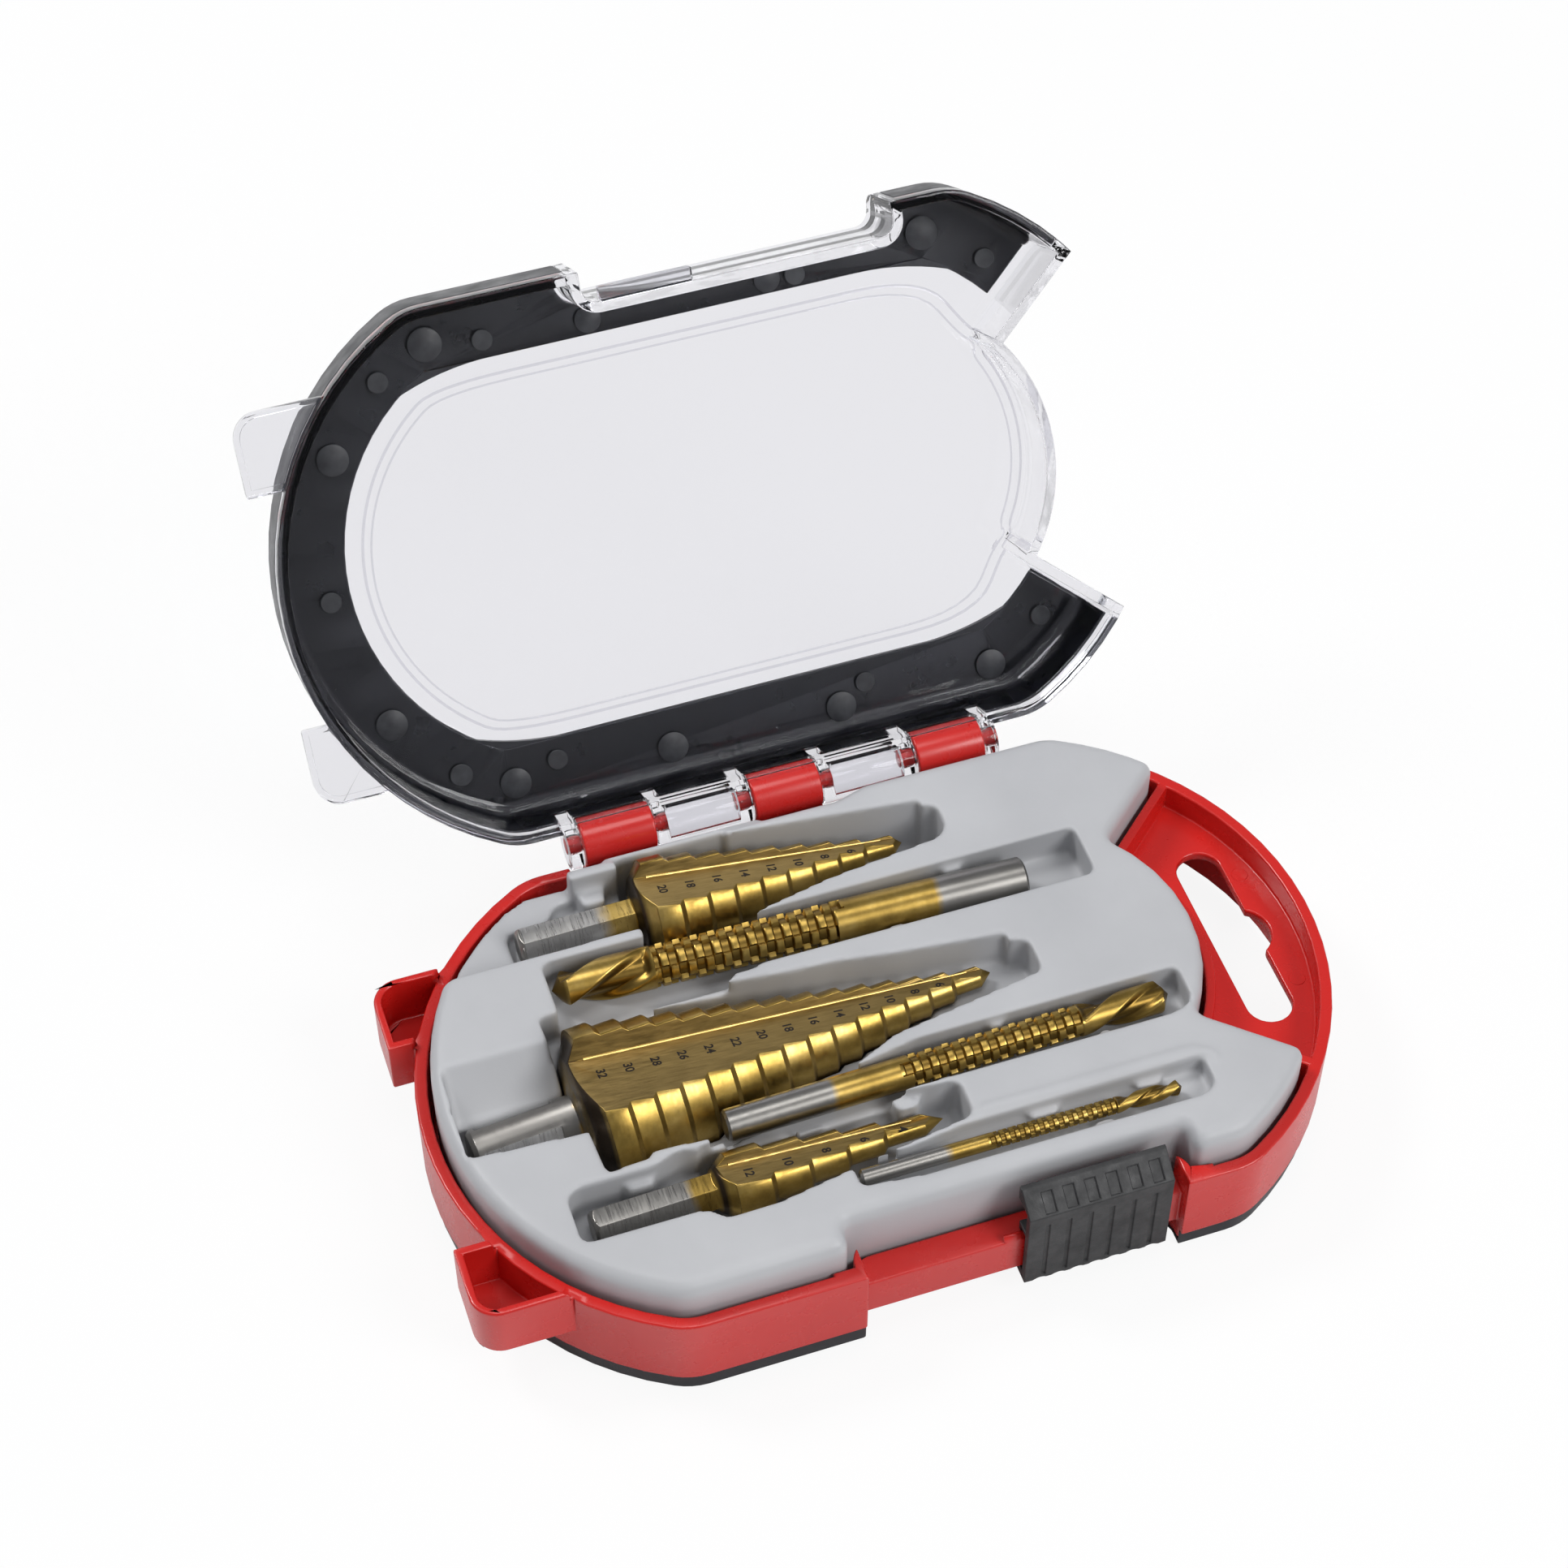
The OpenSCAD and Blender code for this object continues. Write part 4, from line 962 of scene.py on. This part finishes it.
def band_corners():
    """Fillets that round the four inner corners of the lid's dark band."""
    corner = Vector((48.1, 36.75))
    along = Vector((-1.0, 0.0))
    down = Vector((36.7, -19.7)).normalized()
    reach, low, high = 13.0, 36.32, 37.53
    arc = [corner + reach * ((1 - t) ** 2 * along + t * t * down) for t in [i / 10 for i in range(11)]]
    loop = [corner] + arc
    n = len(loop)
    faces = [tuple(range(n)), tuple(range(2 * n - 1, n - 1, -1))]
    faces += [(i, (i + 1) % n, n + (i + 1) % n, n + i) for i in range(n)]
    parts = []
    for sx in (-1, 1):
        for sy in (-1, 1):
            verts = [(sx * p.x, sy * p.y, z) for z in (low, high) for p in loop]
            parts.append(mesh_of("corner", verts, faces, LID_OPEN))
    name, slot = "lid_band_corners", "band_plastic"
    add_object(name, joined(name, parts), [FINISHES[slot]], "lid")


band_corners()

# ejector marks as (x, y, radius), in mm: on the closed lid's inner face, and on the handle's floor
LID_MARKS = (
    (-57.3, 39.3, 2.2), (-68.0, 26.5, 3.0), (-47.5, 43.5, 3.0), (-38.8, 41.0, 2.0), (-16.5, 44.3, 3.0),
    (17.5, 44.8, 3.0), (23.0, 41.2, 2.0), (48.5, 44.0, 3.0), (60.0, 36.8, 2.0), (-74.0, 1.0, 2.0),
    (-68.0, -24.8, 3.0), (-57.0, -36.8, 2.0), (-47.2, -41.7, 3.2), (-36.7, -40.2, 2.0), (-16.8, -39.6, 2.5),
    (17.8, -39.5, 2.5), (23.2, -39.2, 2.0), (48.7, -41.5, 3.2), (60.0, -34.2, 2.0),
)
HANDLE_MARKS = ((77.4, 12.9, 1.6), (77.7, -12.8, 1.6))
HANDLE_FLOOR = 15.0
MARK_SIDES = 32
MARK_HEIGHT = 0.00012  # metres
MARK_ROOT = 0.02  # how deep a mark starts below its face, mm


def mark_group():
    """Geometry nodes: a low disc with a soft rim on each point, as large as its attribute says."""
    tree = bpy.data.node_groups.new("moulding_marks", "GeometryNodeTree")
    face = tree.interface
    face.new_socket("Geometry", in_out="INPUT", socket_type="NodeSocketGeometry")
    for name, kind, value in (
        ("Sides", "NodeSocketInt", MARK_SIDES),
        ("Height", "NodeSocketFloat", MARK_HEIGHT),
        ("Turn", "NodeSocketFloat", 0.0),
        ("Finish", "NodeSocketMaterial", None),
    ):
        socket = face.new_socket(name, in_out="INPUT", socket_type=kind)
        if value is not None:
            socket.default_value = value
    face.new_socket("Geometry", in_out="OUTPUT", socket_type="NodeSocketGeometry")
    start = tree.nodes.new("NodeGroupInput").outputs
    disc = add_node(tree, "GeometryNodeMeshCone", {
        "Vertices": start["Sides"], "Depth": start["Height"], "Radius Top": 0.00093, "Radius Bottom": 0.001,
    }, fill_type="NGON").outputs["Mesh"]
    stored = add_node(tree, "GeometryNodeInputNamedAttribute", {"Name": "size"}, data_type="FLOAT")
    size = stored.outputs["Attribute"]
    scale = add_node(tree, "ShaderNodeCombineXYZ", {"X": size, "Y": size, "Z": 1.0}).outputs["Vector"]
    turn = add_node(tree, "ShaderNodeCombineXYZ", {"Y": start["Turn"]}).outputs["Vector"]
    many = add_node(tree, "GeometryNodeInstanceOnPoints", {
        "Points": start["Geometry"], "Instance": disc, "Scale": scale, "Rotation": turn,
    }).outputs["Instances"]
    real = add_node(tree, "GeometryNodeRealizeInstances", {"Geometry": many}).outputs["Geometry"]
    last = add_node(tree, "GeometryNodeSetMaterial", {"Geometry": real, "Material": start["Finish"]})
    add_node(tree, "NodeGroupOutput", {"Geometry": last.outputs["Geometry"]})
    return tree


def moulding_marks(name, marks, z, turn, place, finish, body):
    """Round marks of the moulding tool on a face at height z, turned about Y to face out of it."""
    points = bpy.data.meshes.new("mark_points")
    points.from_pydata([(x * MM, y * MM, z * MM) for x, y, r in marks], [], [])
    size = points.attributes.new("size", "FLOAT", "POINT")
    for item, (x, y, r) in zip(size.data, marks):
        item.value = r
    maker = linked("mark_points", points)
    nodes = maker.modifiers.new("marks", "NODES")
    nodes.node_group = MARK_GROUP
    inputs = {"Sides": MARK_SIDES, "Height": MARK_HEIGHT, "Turn": turn, "Finish": finish}
    for item in MARK_GROUP.interface.items_tree:
        if item.in_out == "INPUT" and item.name in inputs:
            nodes[item.identifier] = inputs[item.name]
    mesh = evaluated(maker)
    bpy.data.meshes.remove(points)
    mesh.transform(Matrix.Scale(MM, 4) @ place @ Matrix.Scale(1 / MM, 4))
    mesh.materials.clear()
    add_object(name, mesh, [finish], body)


MARK_GROUP = mark_group()
moulding_marks(
    "lid_moulding_marks", LID_MARKS, LID_PLATE - MARK_ROOT, math.pi, LID_OPEN, mark_plastic(),
    "lid",
)
moulding_marks(
    "handle_moulding_marks", HANDLE_MARKS, HANDLE_FLOOR - MARK_ROOT, 0.0, Matrix.Identity(4),
    FINISHES["red_plastic"], "base",
)
